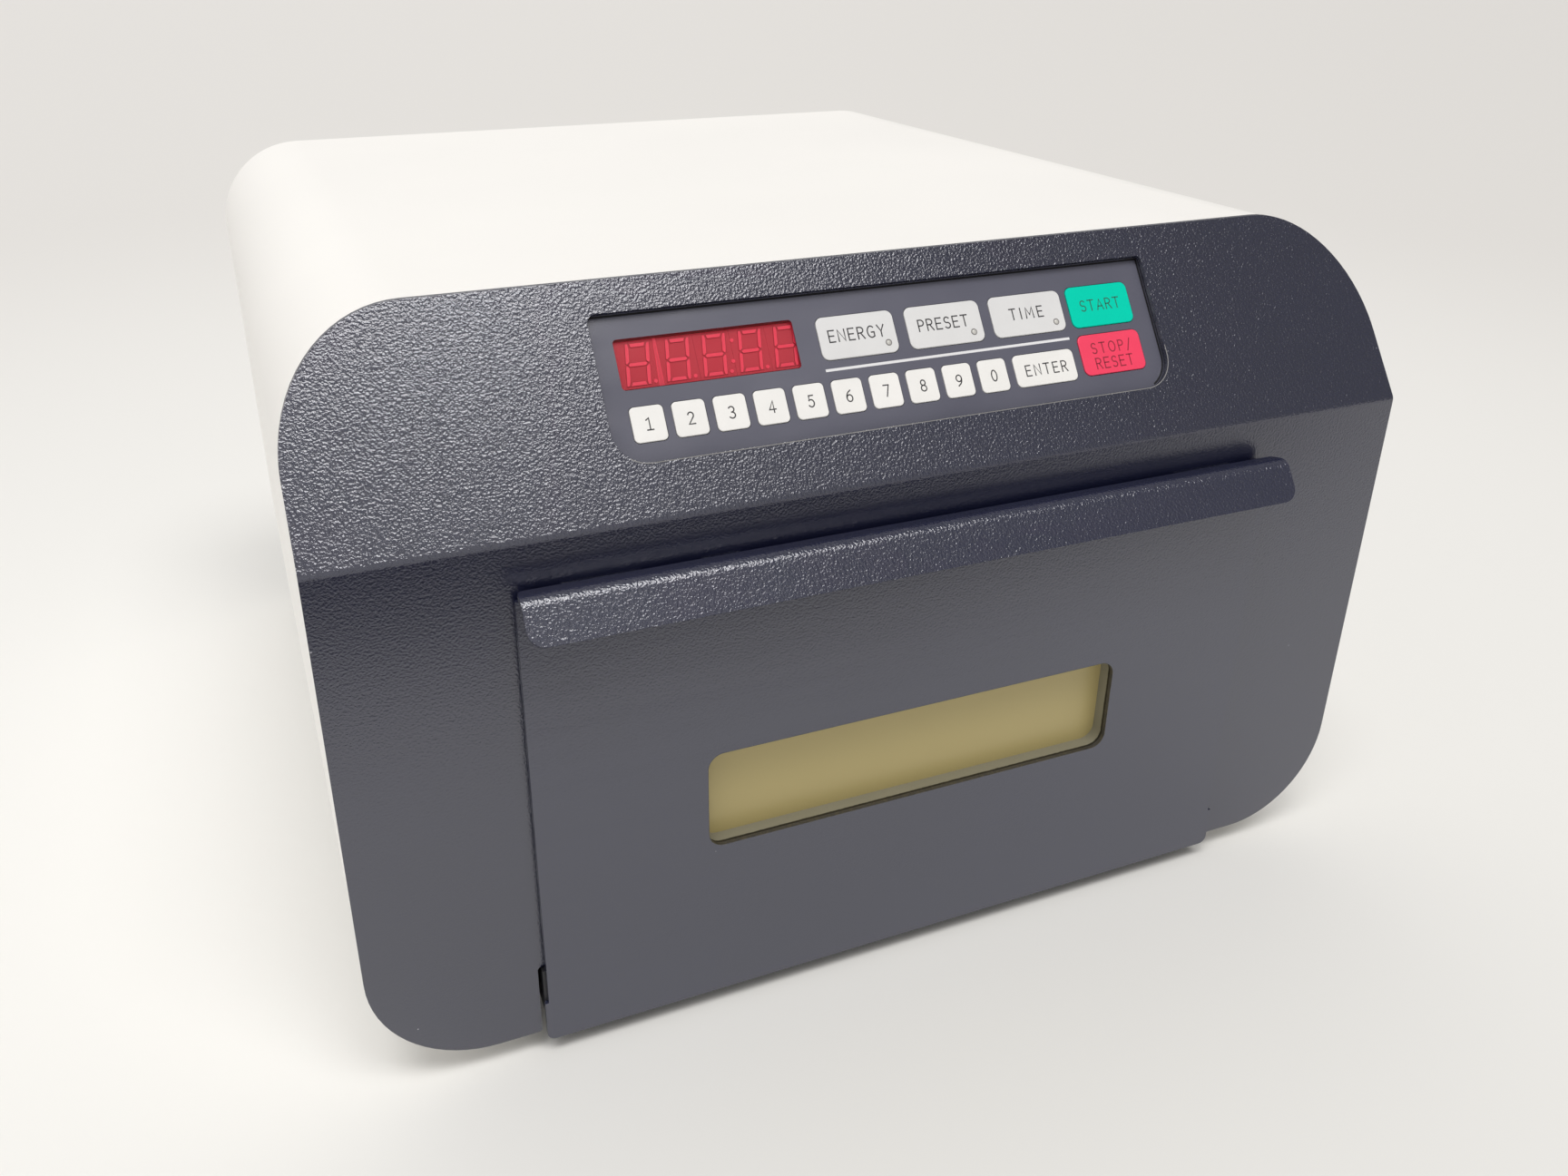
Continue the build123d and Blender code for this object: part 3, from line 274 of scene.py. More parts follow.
t = Mat("cover_coat", (0.84, 0.83, 0.81), 0.5)
t.colour(t.mix(t.range(t.noise(6.0, 3.0, 0.6), 0.3, 0.7, 0.0, 1.0), (0.930, 0.915, 0.888), (0.945, 0.930, 0.902)))
t.rough(t.range(t.noise(10.0, 4.0, 0.6), 0.3, 0.7, 0.42, 0.56))
t.bump(t.noise(650.0, 2.0, 0.55, 0.3), 0.00002)
M["cover_coat"] = t.m
t = Mat("rear_coat", (0.72, 0.72, 0.70), 0.5)
t.colour(t.mix(t.range(t.noise(8.0, 3.0, 0.6), 0.3, 0.7, 0.0, 1.0), (0.70, 0.70, 0.68), (0.76, 0.76, 0.74)))
t.rough(t.range(t.noise(12.0, 4.0, 0.6), 0.3, 0.7, 0.42, 0.58))
t.bump(t.noise(650.0, 2.0, 0.55, 0.3), 0.00003)
M["rear_coat"] = t.m

M["plated_sheet"] = sheet_metal("plated_sheet", (0.56, 0.57, 0.58), (0.32, 0.48), (40.0, 40.0, 40.0), 0.000004, 0.5)
# near-black steel for the hinge parts and the panel plate: partly their own dark coat, partly a painted stand-in for
# the shade in the hinge notch and in the gap behind the panel opening
t = Mat("dark_steel", (0.016, 0.016, 0.019), 0.4, 0.0)
t.colour(t.mix(t.range(t.noise(30.0, 4.0, 0.6), 0.3, 0.7, 0.0, 1.0), (0.010, 0.010, 0.013), (0.020, 0.020, 0.025)))
t.rough(t.range(t.noise(45.0, 4.0, 0.6), 0.3, 0.7, 0.32, 0.5))
t.bump(t.noise(800.0, 3.0, 0.5), 0.00003)
M["dark_steel"] = t.m
M["chamber_sheet"] = sheet_metal("chamber_sheet", (0.82, 0.83, 0.84), (0.16, 0.30), (900.0, 3.0, 900.0), 0.000004)
M["lamp_glass"] = clear("lamp_glass", (0.86, 0.91, 0.95), 0.32, 0.03)
M["lamp_cap"] = sheet_metal("lamp_cap", (0.78, 0.78, 0.78), (0.25, 0.4), (700.0, 700.0, 60.0), 0.000004)
M["pin_metal"] = sheet_metal("pin_metal", (0.78, 0.62, 0.32), (0.25, 0.4), (300.0, 300.0, 300.0), 0.000003)
M["socket_plastic"] = plastic("socket_plastic", (0.78, 0.78, 0.75), 0.5, 0.05)
M["ballast_coat"] = plastic("ballast_coat", (0.62, 0.62, 0.60), 0.5, 0.08)
M["sensor_plastic"] = plastic("sensor_plastic", (0.03, 0.03, 0.03), 0.45, 0.2)

t = Mat("overlay_film", (0.105, 0.108, 0.135), 0.42)
t.colour(t.mix(t.range(t.noise(18.0, 3.0, 0.6), 0.3, 0.7, 0.0, 1.0), (0.100, 0.101, 0.138), (0.116, 0.117, 0.156)))
t.rough(t.range(t.noise(25.0, 4.0, 0.6), 0.3, 0.7, 0.30, 0.40))
t.bump(t.noise(1900.0, 1.0, 0.5), 0.000010)
t.bump(t.noise(24.0, 1.5, 0.5, vec=t.mapped((1.0, 1.6, 1.6))), 0.0011)     # the film lies slightly wavy
M["overlay_film"] = t.m


def key_mat(name, col, rough=0.36):
    t = Mat(name, col, rough)
    t.colour(t.mix(t.range(t.noise(70.0, 3.0, 0.6), 0.3, 0.7, 0.0, 1.0), tuple(c * 0.97 for c in col), tuple(min(1.0, c * 1.02) for c in col)))
    t.rough(t.range(t.noise(90.0, 3.0, 0.6), 0.3, 0.7, rough - 0.05, rough + 0.08))
    t.bump(t.noise(2100.0, 1.0, 0.5), 0.000008)
    return t.m


M["key_white"] = key_mat("key_white", (0.90, 0.89, 0.87))
M["key_grey"] = key_mat("key_grey", (0.76, 0.76, 0.765))
M["key_green"] = key_mat("key_green", (0.0, 0.66, 0.47), 0.5)
M["key_green"].node_tree.nodes["Principled BSDF"].inputs["Specular IOR Level"].default_value = 0.08
M["key_red"] = key_mat("key_red", (0.95, 0.055, 0.13))
M["red_filter"] = clear("red_filter", (0.60, 0.020, 0.040), 0.10, 0.10, 0.08)
M["segment_red"] = plastic("segment_red", (0.98, 0.055, 0.115), 0.35, 0.02)
M["module_black"] = plastic("module_red", (0.52, 0.028, 0.050), 0.5, 0.08)
M["circuit_board"] = plastic("circuit_board", (0.02, 0.16, 0.07), 0.35, 0.25)
M["screw_steel"] = sheet_metal("screw_steel", (0.62, 0.62, 0.60), (0.25, 0.42), (500.0, 500.0, 500.0), 0.000004)
M["black_plastic"] = plastic("black_plastic", (0.022, 0.022, 0.023), 0.42, 0.2, 1500.0, 0.00002)
M["fuse_glass"] = clear("fuse_glass", (0.85, 0.88, 0.88), 0.4, 0.05)
t = Mat("gasket_grey", (0.30, 0.295, 0.21), 0.6)
n = t.node("ShaderNodeSeparateXYZ")
t.link(t.coord, n.inputs["Vector"])
front_edge = t.range(t.math("ADD", n.outputs["Y"], t.math("MULTIPLY", t.noise(600.0, 2.0, 0.6), 0.0005)), -0.18462, -0.18442, 1.0, 0.0)
t.colour(t.mix(front_edge, t.mix(t.range(t.noise(35.0, 4.0, 0.6), 0.3, 0.7, 0.0, 1.0), (0.244, 0.230, 0.168), (0.268, 0.252, 0.184)), (0.016, 0.013, 0.008)))
t.rough(t.range(t.noise(60.0, 3.0, 0.6), 0.3, 0.7, 0.5, 0.72))
t.bump(t.noise(900.0, 2.0, 0.5), 0.000012)
M["gasket_grey"] = t.m
t = Mat("amber_filter", (0.36, 0.29, 0.12), 0.3)
t.b.inputs["Alpha"].default_value = 0.985
t.b.inputs["Coat Weight"].default_value = 0.14
t.b.inputs["Coat Roughness"].default_value = 0.2
t.colour(t.mix(t.range(t.noise(8.0, 3.0, 0.6), 0.3, 0.7, 0.0, 1.0), (0.478, 0.393, 0.172), (0.488, 0.402, 0.177)))
t.rough(t.range(t.noise(40.0, 4.0, 0.6), 0.3, 0.7, 0.36, 0.40))
t.bump(t.noise(260.0, 2.0, 0.5), 0.000006)
M["amber_filter"] = t.m
M["foot_rubber"] = plastic("foot_rubber", (0.018, 0.018, 0.018), 0.75, 0.25, 1200.0, 0.00004)
M["ink"] = plastic("legend_ink", (0.036, 0.034, 0.038), 0.5, 0.08, 3000.0, 0.000002)
M["ink_green"] = plastic("legend_ink_green", (0.01, 0.16, 0.10), 0.5, 0.08, 3000.0, 0.000002)
M["ink_red"] = plastic("legend_ink_red", (0.30, 0.012, 0.035), 0.5, 0.08, 3000.0, 0.000002)
M["ink_white"] = plastic("legend_ink_white", (0.80, 0.80, 0.82), 0.45, 0.04, 3000.0, 0.000002)
M["lens"] = plastic("indicator_lens", (0.60, 0.59, 0.56), 0.25, 0.06, 2000.0, 0.000003, coat=0.6)
M["ring"] = plastic("indicator_ring", (0.25, 0.24, 0.235), 0.4, 0.08, 2000.0, 0.000003)
M["segment_gap"] = plastic("segment_gap", (0.34, 0.011, 0.024), 0.4, 0.05)
# lighter red for the painted glare between the first two digits
M["display_glare_red"] = plastic("display_glare_red", (0.74, 0.040, 0.080), 0.4, 0.05)
# near-black for the painted shade along the panel opening's edge
M["painted_shade_black"] = plastic("painted_shade_black", (0.007, 0.007, 0.010), 0.6, 0.2)
# pale grey for the painted highlight along the panel opening's lower edge
M["edge_highlight_paint"] = plastic("edge_highlight_paint", (0.24, 0.235, 0.235), 0.35, 0.25, 500.0, 0.00001)
M["tungsten"] = sheet_metal("tungsten", (0.35, 0.34, 0.33), (0.3, 0.45), (900.0, 900.0, 900.0), 0.000003)

for sub in frame["record"]["subparts"]:
    o = NODES[sub["node"]]
    m = M[sub["material_slot"]]
    if sub["node"] in ("key_energy", "key_preset", "key_time"):
        m = M["key_grey"]
    if not o.material_slots:
        o.data.materials.append(m)
    for ms in o.material_slots:
        ms.material = m


# =============================================================================
# Printed legends, as thin raised ink
# =============================================================================
def arc(cx, cy, rx, ry, a0, a1, n=14):
    return [(cx + rx * math.cos(math.radians(a0 + (a1 - a0) * i / n)),
             cy + ry * math.sin(math.radians(a0 + (a1 - a0) * i / n))) for i in range(n + 1)]


# single-line letters on a body 1 high; each entry is (width, strokes)
GLYPHS = {
    "0": (0.52, [arc(0.26, 0.5, 0.26, 0.5, 90, 450, 28)]),
    "1": (0.50, [[(0.04, 0.84), (0.28, 1.0), (0.28, 0.0)], [(0.03, 0.0), (0.53, 0.0)]]),
    "2": (0.52, [arc(0.26, 0.74, 0.24, 0.26, 160, -38, 12) + [(0.01, 0.0), (0.54, 0.0)]]),
    "3": (0.52, [arc(0.23, 0.76, 0.24, 0.24, 145, -90, 12), arc(0.23, 0.26, 0.27, 0.26, 90, -145, 14)]),
    "4": (0.56, [[(0.40, 0.0), (0.40, 1.0), (0.0, 0.26), (0.58, 0.26)]]),
    "5": (0.50, [[(0.47, 1.0), (0.10, 1.0), (0.06, 0.56)] + arc(0.22, 0.32, 0.27, 0.32, 128, -145, 16)]),
    "6": (0.52, [[(0.40, 0.99)] + arc(0.44, 0.34, 0.44, 0.60, 108, 176, 7), arc(0.26, 0.30, 0.26, 0.30, 90, 450, 24)]),
    "7": (0.50, [[(0.0, 1.0), (0.50, 1.0), (0.18, 0.0)]]),
    "8": (0.52, [arc(0.26, 0.76, 0.22, 0.24, 90, 450, 22), arc(0.26, 0.26, 0.26, 0.26, 90, 450, 22)]),
    "9": (0.52, [[(0.12, 0.01)] + arc(0.08, 0.66, 0.44, 0.60, -72, -4, 7), arc(0.26, 0.70, 0.26, 0.30, 90, 450, 24)]),
    "A": (0.66, [[(0.0, 0.0), (0.33, 1.0), (0.66, 0.0)], [(0.11, 0.32), (0.55, 0.32)]]),
    "E": (0.52, [[(0.52, 1.0), (0.0, 1.0), (0.0, 0.0), (0.52, 0.0)], [(0.0, 0.52), (0.45, 0.52)]]),
    "G": (0.62, [arc(0.34, 0.5, 0.34, 0.5, 50, 298, 20) + [(0.60, 0.10), (0.60, 0.46), (0.36, 0.46)]]),
    "I": (0.08, [[(0.04, 1.0), (0.04, 0.0)]]),
    "M": (0.78, [[(0.0, 0.0), (0.06, 1.0), (0.39, 0.30), (0.72, 1.0), (0.78, 0.0)]]),
    "N": (0.60, [[(0.0, 0.0), (0.0, 1.0), (0.60, 0.0), (0.60, 1.0)]]),
    "O": (0.70, [arc(0.35, 0.5, 0.35, 0.5, 90, 450, 28)]),
    "P": (0.52, [[(0.0, 0.0), (0.0, 1.0), (0.25, 1.0)] + arc(0.25, 0.74, 0.27, 0.26, 90, -90, 12) + [(0.0, 0.48)]]),
    "R": (0.56, [[(0.0, 0.0), (0.0, 1.0), (0.25, 1.0)] + arc(0.25, 0.75, 0.27, 0.25, 90, -90, 12) + [(0.0, 0.50)],
                 [(0.26, 0.50), (0.56, 0.0)]]),
    "S": (0.52, [arc(0.26, 0.745, 0.25, 0.255, 35, 250, 12) + arc(0.26, 0.255, 0.26, 0.255, 70, -145, 12)]),
    "T": (0.60, [[(0.0, 1.0), (0.60, 1.0)], [(0.30, 1.0), (0.30, 0.0)]]),
    "Y": (0.60, [[(0.0, 1.0), (0.30, 0.46), (0.60, 1.0)], [(0.30, 0.46), (0.30, 0.0)]]),
    "/": (0.42, [[(0.0, -0.08), (0.42, 1.06)]]),
}


def ribbon(verts, faces, line, w, place, lift):
    """Adds a closed strip of width w along a line: flat top, sides and underside."""
    pts = [Vector(p) for p in line]
    keep = [pts[0]]
    for p in pts[1:]:
        if (p - keep[-1]).length > 1e-6:
            keep.append(p)
    pts = keep
    closed = (pts[0] - pts[-1]).length < 1e-4 and len(pts) > 4
    if closed:
        pts = pts[:-1]
    n = len(pts)
    if not closed:      # run the ends on by half the stroke
        pts[0] = pts[0] + (pts[0] - pts[1]).normalized() * w * 0.5
        pts[-1] = pts[-1] + (pts[-1] - pts[-2]).normalized() * w * 0.5
    rails = []
    for i in range(n):
        a = pts[(i - 1) % n] if closed or i > 0 else None
        b = pts[(i + 1) % n] if closed or i < n - 1 else None
        d0 = (pts[i] - a).normalized() if a is not None else None
        d1 = (b - pts[i]).normalized() if b is not None else None
        d0 = d0 or d1
        d1 = d1 or d0
        n0, n1 = Vector((-d0.y, d0.x)), Vector((-d1.y, d1.x))
        m = n0 + n1
        m = m.normalized() if m.length > 1e-6 else n0
        k = min(1.6, 1.0 / max(0.35, m.dot(n0)))
        rails.append((pts[i] + m * w * 0.5 * k, pts[i] - m * w * 0.5 * k))
    base = len(verts)
    for l, r in rails:
        verts += [place(l.x, l.y, lift), place(r.x, r.y, lift), place(r.x, r.y, 0.0), place(l.x, l.y, 0.0)]
    last = n if closed else n - 1
    for i in range(last):
        p, q = base + 4 * i, base + 4 * ((i + 1) % n)
        for k in range(4):
            faces.append((p + k, p + (k + 1) % 4, q + (k + 1) % 4, q + k))
    if not closed:
        faces.append((base + 3, base + 2, base + 1, base))
        e = base + 4 * (n - 1)
        faces.append((e, e + 1, e + 2, e + 3))


def make(name, verts, faces, material, body, smooth=False):
    me = bpy.data.meshes.new(name)
    me.from_pydata([tuple(v) for v in verts], [], faces)
    me.validate()
    me.materials.append(material)
    o = bpy.data.objects.new(name, me)
    bpy.context.scene.collection.objects.link(o)
    if smooth:
        for p in me.polygons:
            p.use_smooth = True
    import_fix(me)
    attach(o, body)
    return o


def import_fix(me):
    """Points every face outwards."""
    import bmesh
    bm = bmesh.new()
    bm.from_mesh(me)
    bmesh.ops.recalc_face_normals(bm, faces=bm.faces)
    bm.to_mesh(me)
    bm.free()


def key_place(d):
    return lambda x, s, lift: on_slope(x, s, d + lift)


def legend(name, body, lines, stroke, material):
    """lines: (word, left x, right x, lower s, upper s), to the outside of the strokes"""
    verts, faces = [], []
    for word, x0, x1, s0, s1 in lines:
        x0, x1, s0, s1 = x0 + stroke / 2, x1 - stroke / 2, s0 + stroke / 2, s1 - stroke / 2
        h = s1 - s0
        total = sum(GLYPHS[c][0] for c in word) * h
        gap = (x1 - x0 - total) / (len(word) - 1) if len(word) > 1 else 0.0
        x = x0 if len(word) > 1 else (x0 + x1 - total) / 2
        for c in word:
            w, strokes = GLYPHS[c]
            for st in strokes:
                ribbon(verts, faces, [(x + px * h, s0 + py * h) for px, py in st], stroke,
                       key_place(KEY_TOP - 0.004), 0.024)
            x += w * h + gap
    return make(name, verts, faces, material, body)


DIGIT_KEYS = "1234567890"
for i, c in enumerate(DIGIT_KEYS):
    x0 = -93.49 + 13.322 * i
    legend("legend_" + c, "key_" + c, [(c, x0 + 3.9, x0 + 6.9, 27.55, 31.65)], 0.42, M["ink"])
legend("legend_enter", "key_enter", [("ENTER", 44.0, 60.5, 27.60, 31.60)], 0.42, M["ink"])
legend("legend_energy", "key_energy", [("ENERGY", -24.0, -3.8, 47.40, 51.65)], 0.44, M["ink"])
legend("legend_preset", "key_preset", [("PRESET", 8.4, 27.2, 47.40, 51.60)], 0.44, M["ink"])
legend("legend_time", "key_time", [("TIME", 43.3, 56.5, 47.45, 51.55)], 0.44, M["ink"])
legend("legend_start", "key_start", [("START", 71.6, 87.8, 47.40, 51.50)], 0.42, M["ink_green"])
legend("legend_stop", "key_stop", [("STOP/", 71.6, 87.9, 32.15, 36.15), ("RESET", 72.0, 87.4, 26.70, 30.80)], 0.42,
       M["ink_red"])

# indicator lamps in the lower right corners of the three mode keys
for name, cx, cs in (("energy", -3.37, 45.3), ("preset", 28.46, 45.25), ("time", 60.7, 45.2)):
    for part, r0, r1, up, mat in (("ring", 0.78, 1.14, 0.05, M["ring"]), ("lens", 0.0, 0.78, 0.07, M["lens"])):
        verts, faces = [], []
        n = 32
        levels = [(r1, -0.01), (r1, up * 0.6), (r1 - 0.08, up)]
        if r0 == 0.0:
            levels += [(r1 * 0.6, up + 0.10), (r1 * 0.25, up + 0.14)]
        else:
            levels += [(r0, up), (r0, -0.01)]
        for r, d in levels:
            for k in range(n):
                a = 2 * math.pi * k / n
                verts.append(on_slope(cx + r * math.cos(a), cs + r * math.sin(a), KEY_TOP + d))
        rows = len(levels)
        for j in range(rows - 1 if r0 == 0.0 else rows):
            for k in range(n):
                a, b = j * n + k, j * n + (k + 1) % n
                c, d_ = ((j + 1) % rows) * n + (k + 1) % n, ((j + 1) % rows) * n + k
                faces.append((a, b, c, d_))
        if r0 == 0.0:
            faces.append(tuple(range((rows - 1) * n, rows * n)))
            faces.append(tuple(range(n - 1, -1, -1)))
        make("indicator_%s_%s" % (part, name), verts, faces, mat, "key_" + name, True)

# ruled line between the two rows of keys
verts, faces = [], []
ribbon(verts, faces, [(-26.9, 38.72), (63.9, 38.87)], 0.88, lambda x, s, l: on_slope(x, s, OVL_TOP - 0.004 + l), 0.024)
make("panel_rule", verts, faces, M["ink_white"], "frame")

# a painted highlight along the lower edge of the panel opening and up its lower right corner, where the rounded edge
# of the opening catches the light
PX0, PX1, PS0, PS1, PR = -101.05, 99.65, 17.5, 64.5, 11.0
verts, faces = [], []
line = arc(PX0 + PR, PS0 + PR, PR + 0.25, PR + 0.25, 235, 270, 8) + arc(PX1 - PR, PS0 + PR, PR + 0.25, PR + 0.25, 270, 360, 18)
line += [(PX1 + 0.25, PS0 + PR + 3.0)]
ribbon(verts, faces, line, 0.30, lambda x, s, l: on_slope(x, s, -0.004 + l), 0.020)
make("panel_edge_highlight", verts, faces, M["edge_highlight_paint"], "frame")

# near-black strips laid on the film along the opening's edge, wide at the top and the right, thin at the left: painted
# shade of the gap between film and edge and of the shadow the edge casts on the film
verts, faces = [], []
line = [(PX0 + 0.1, PS1 - 0.34), (PX1 - 0.34, PS1 - 0.34), (PX1 - 0.34, PS0 + PR)]
line += arc(PX1 - PR, PS0 + PR, PR - 0.34, PR - 0.34, -6, -62, 10)
ribbon(verts, faces, line, 0.64, lambda x, s, l: on_slope(x, s, OVL_TOP - 0.004 + l), 0.024)
line = [(PX0 + 0.26, PS1 - 1.0), (PX0 + 0.26, PS0 + PR)] + arc(PX0 + PR, PS0 + PR, PR - 0.26, PR - 0.26, 186, 240, 10)
ribbon(verts, faces, line, 0.5, lambda x, s, l: on_slope(x, s, OVL_TOP - 0.004 + l), 0.024)
make("panel_edge_painted_shade", verts, faces, M["painted_shade_black"], "frame")

# the display: a slanting sliver of lighter red between the first two digits with two bright red lines along it, a
# painted glare on the boundary of the first two modules; and the gaps round each segment
MOD_FACE = -4.0
verts, faces = [], []
poly = [(-80.95, 56.3), (-80.13, 56.3), (-80.13, 41.2), (-81.85, 41.2)]
for lift in (-0.02, 0.14):
    verts += [on_slope(x, s, MOD_FACE + lift) for x, s in poly]
faces += [(3, 2, 1, 0), (4, 5, 6, 7)] + [(i, (i + 1) % 4, 4 + (i + 1) % 4, 4 + i) for i in range(4)]
make("display_painted_glare", verts, faces, M["display_glare_red"], "frame")
verts, faces = [], []
for a, b in (((-80.86, 56.1), (-81.72, 41.4)), ((-80.26, 56.1), (-80.26, 41.4))):
    ribbon(verts, faces, [a, b], 0.17, lambda x, s, l: on_slope(x, s, MOD_FACE + 0.135 + l), 0.024)
make("display_painted_glare_lines", verts, faces, M["segment_red"], "frame")

DIGIT_X = [-87.07, -74.27, -62.27, -50.27, -38.28]
DIGIT_S0, DIGIT_S1, DIGIT_W, SEG, SLANT = 42.13, 55.38, 7.7, 1.2, 1.9 / 13.2


def skew(x, s, xc):
    return (xc + x + (s - (DIGIT_S0 + DIGIT_S1) / 2) * SLANT, s)


verts, faces = [], []
for xc in DIGIT_X:
    hw, mid = DIGIT_W / 2, (DIGIT_S0 + DIGIT_S1) / 2
    inner, h = hw - SEG, SEG / 2
    outlines = []
    for a, b in ((DIGIT_S1, DIGIT_S1 - SEG), (DIGIT_S0, DIGIT_S0 + SEG)):
        outlines.append([(-inner + 0.1, a), (inner - 0.1, a), (inner - 0.55, b), (-inner + 0.55, b)])
    tip = hw - 0.75
    outlines.append([(-tip, mid), (-tip + h, mid + h), (tip - h, mid + h), (tip, mid), (tip - h, mid - h), (-tip + h, mid - h)])
    for sx in (-1, 1):
        for end, sg in ((DIGIT_S1, 1), (DIGIT_S0, -1)):
            m = mid + sg * 0.22
            outlines.append([(sx * hw, end), (sx * hw, m + sg * 0.25), (sx * (hw - 0.45), m),
                             (sx * inner, m + sg * 0.75), (sx * inner, end - sg * (SEG + 0.15)), (sx * (inner + 0.35), end)])
    for o in outlines:
        pts = [skew(x, s, xc) for x, s in o]
        ribbon(verts, faces, pts + pts[:1], 0.12, lambda x, s, l: on_slope(x, s, MOD_FACE - 0.02 + l), 0.235)
make("segment_gaps", verts, faces, M["segment_gap"], "frame")

# =============================================================================
# Marks on the rocker, and electrodes in the lamps
# =============================================================================
ROCK_Y, ROCK_Z, TILT = FY + 378.6, 66.0, math.radians(8.0)


def rock(x, dv, dz):
    c, t_ = math.cos(TILT), math.sin(TILT)
    return mm(80.0 + x, ROCK_Y + dv * c + dz * t_, ROCK_Z + dz * c - dv * t_)


def rock_face(x, dz, lift):
    """The rocker's outer face: a shallow V."""
    a = abs(dz)
    dv = 2.7 + 0.5 * a / 6.0 if a < 6.0 else 3.2 + 1.4 * (a - 6.0) / 5.4
    return rock(x, dv - 0.004 + lift, dz)


verts, faces = [], []
ribbon(verts, faces, [(0.0, 6.4), (0.0, 8.2), (0.0, 10.2)], 0.7, lambda x, z, l: rock_face(x, z, l), 0.04)
circle = arc(0.0, -8.3, 2.0, 2.0, 0, 360, 30)
ribbon(verts, faces, circle, 0.6, lambda x, z, l: rock_face(x, z, l), 0.04)
make("rocker_marks", verts, faces, M["ink_white"], "power_rocker")


def tube(verts, faces, path, r, sides=8):
    """A round rod along a path of points."""
    n = len(path)
    frames = []
    up = Vector((0, 0, 1))
    for i, p in enumerate(path):
        d = (path[min(i + 1, n - 1)] - path[max(i - 1, 0)]).normalized()
        side = d.cross(up)
        if side.length < 1e-3:
            side = d.cross(Vector((1, 0, 0)))
        side.normalize()
        frames.append((p, side, side.cross(d).normalized()))
    base = len(verts)
    for p, a, b in frames:
        for k in range(sides):
            th = 2 * math.pi * k / sides
            verts.append(p + (a * math.cos(th) + b * math.sin(th)) * r)
    for i in range(n - 1):
        for k in range(sides):
            faces.append((base + i * sides + k, base + i * sides + (k + 1) % sides,
                          base + (i + 1) * sides + (k + 1) % sides, base + (i + 1) * sides + k))
    faces.append(tuple(base + k for k in range(sides - 1, -1, -1)))
    faces.append(tuple(base + (n - 1) * sides + k for k in range(sides)))


verts, faces = [], []
for x in (-96.0, -48.0, 0.0, 48.0, 96.0):
    for v, sg in ((36.5, 1.0), (300.8, -1.0)):
        y = FY + v
        for dx in (-2.2, 2.2):       # support wires
            tube(verts, faces, [mm(x + dx * 0.6, y, 195.0), mm(x + dx * 0.7, y + sg * 4, 195.0), mm(x + dx * 1.4, y + sg * 9, 195.0)], 0.0003)
        coil = []
        for k in range(0, 121):
            a = k / 120.0
            th = a * 2 * math.pi * 10
            coil.append(mm(x - 3.1 + 6.2 * a, y + sg * 9 + 0.9 * math.cos(th), 195.0 + 0.9 * math.sin(th)))
        tube(verts, faces, coil, 0.00014, 6)
make("lamp_electrodes", verts, faces, M["tungsten"], "frame", True)

# =============================================================================
# Floor, light and camera
# =============================================================================
me = bpy.data.meshes.new("floor")
S = 14.0
me.from_pydata([(-S, -S, 0), (S, -S, 0), (S, S, 0), (-S, S, 0)], [], [(0, 1, 2, 3)])
floor = bpy.data.objects.new("floor", me)
bpy.context.scene.collection.objects.link(floor)
t = Mat("floor_pale", (0.84, 0.835, 0.82), 0.55)
t.b.inputs["Specular IOR Level"].default_value = 0.25
away = t.node("ShaderNodeVectorMath", operation="LENGTH")
t.link(t.coord, away.inputs[0])
# the floor paler near the object and darker further out: a painted pool of light
t.colour(t.mix(t.range(away.outputs["Value"], 0.30, 1.5, 0.0, 1.0, True), (0.84, 0.835, 0.815), (0.735, 0.72, 0.70)))
me.materials.append(t.m)


# a soft black flag lying in front of the object, out of the picture, which only reflections see
me = bpy.data.meshes.new("flag")
me.from_pydata([(-0.75, -1.6, 0.004), (0.85, -1.6, 0.004), (0.85, -0.42, 0.004), (-0.75, -0.42, 0.004)], [], [(0, 1, 2, 3)])
flag = bpy.data.objects.new("flag", me)
bpy.context.scene.collection.objects.link(flag)
for ray in ("camera", "diffuse", "transmission", "volume_scatter", "shadow"):
    setattr(flag, "visible_" + ray, False)
t = Mat("flag_black", (0.005, 0.005, 0.005), 1.0, spec=0.0)
v = t.node("ShaderNodeVectorMath", operation="SUBTRACT")
t.link(t.coord, v.inputs[0])
v.inputs[1].default_value = (0.03, -0.90, 0.0)
v2 = t.node("ShaderNodeVectorMath", operation="MULTIPLY")
t.link(v.outputs["Vector"], v2.inputs[0])
v2.inputs[1].default_value = (0.6, 1.0, 0.0)
v3 = t.node("ShaderNodeVectorMath", operation="LENGTH")
t.link(v2.outputs["Vector"], v3.inputs[0])
t.link(t.range(v3.outputs["Value"], 0.30, 0.53, 1.0, 0.0, True), t.b.inputs["Alpha"])
me.materials.append(t.m)


def toward(az, el):
    """Unit vector at a compass angle (0 behind the object, 180 in front) and a height."""
    a_, e_ = math.radians(az), math.radians(el)
    return Vector((math.cos(e_) * math.sin(a_), math.cos(e_) * math.cos(a_), math.sin(e_)))


def distant(name, az, el, strength, spread, col):
    """A large softbox far away: it lights object and floor evenly."""
    d = bpy.data.lights.new(name, "SUN")
    d.energy = strength
    d.angle = math.radians(spread)
    d.color = col
    o = bpy.data.objects.new(name, d)
    o.rotation_euler = (-toward(az, el)).to_track_quat("-Z", "Y").to_euler()
    o.location = toward(az, el) * 2.0
    bpy.context.scene.collection.objects.link(o)
    return o


distant("overhead", 172.0, 75.0, 0.32, 22.0, (1.0, 0.985, 0.965))
distant("front_left", 155.0, 62.0, 0.71, 22.0, (1.0, 0.985, 0.965))
distant("side_left", 225.0, 70.0, 0.97, 22.0, (1.0, 0.985, 0.965))

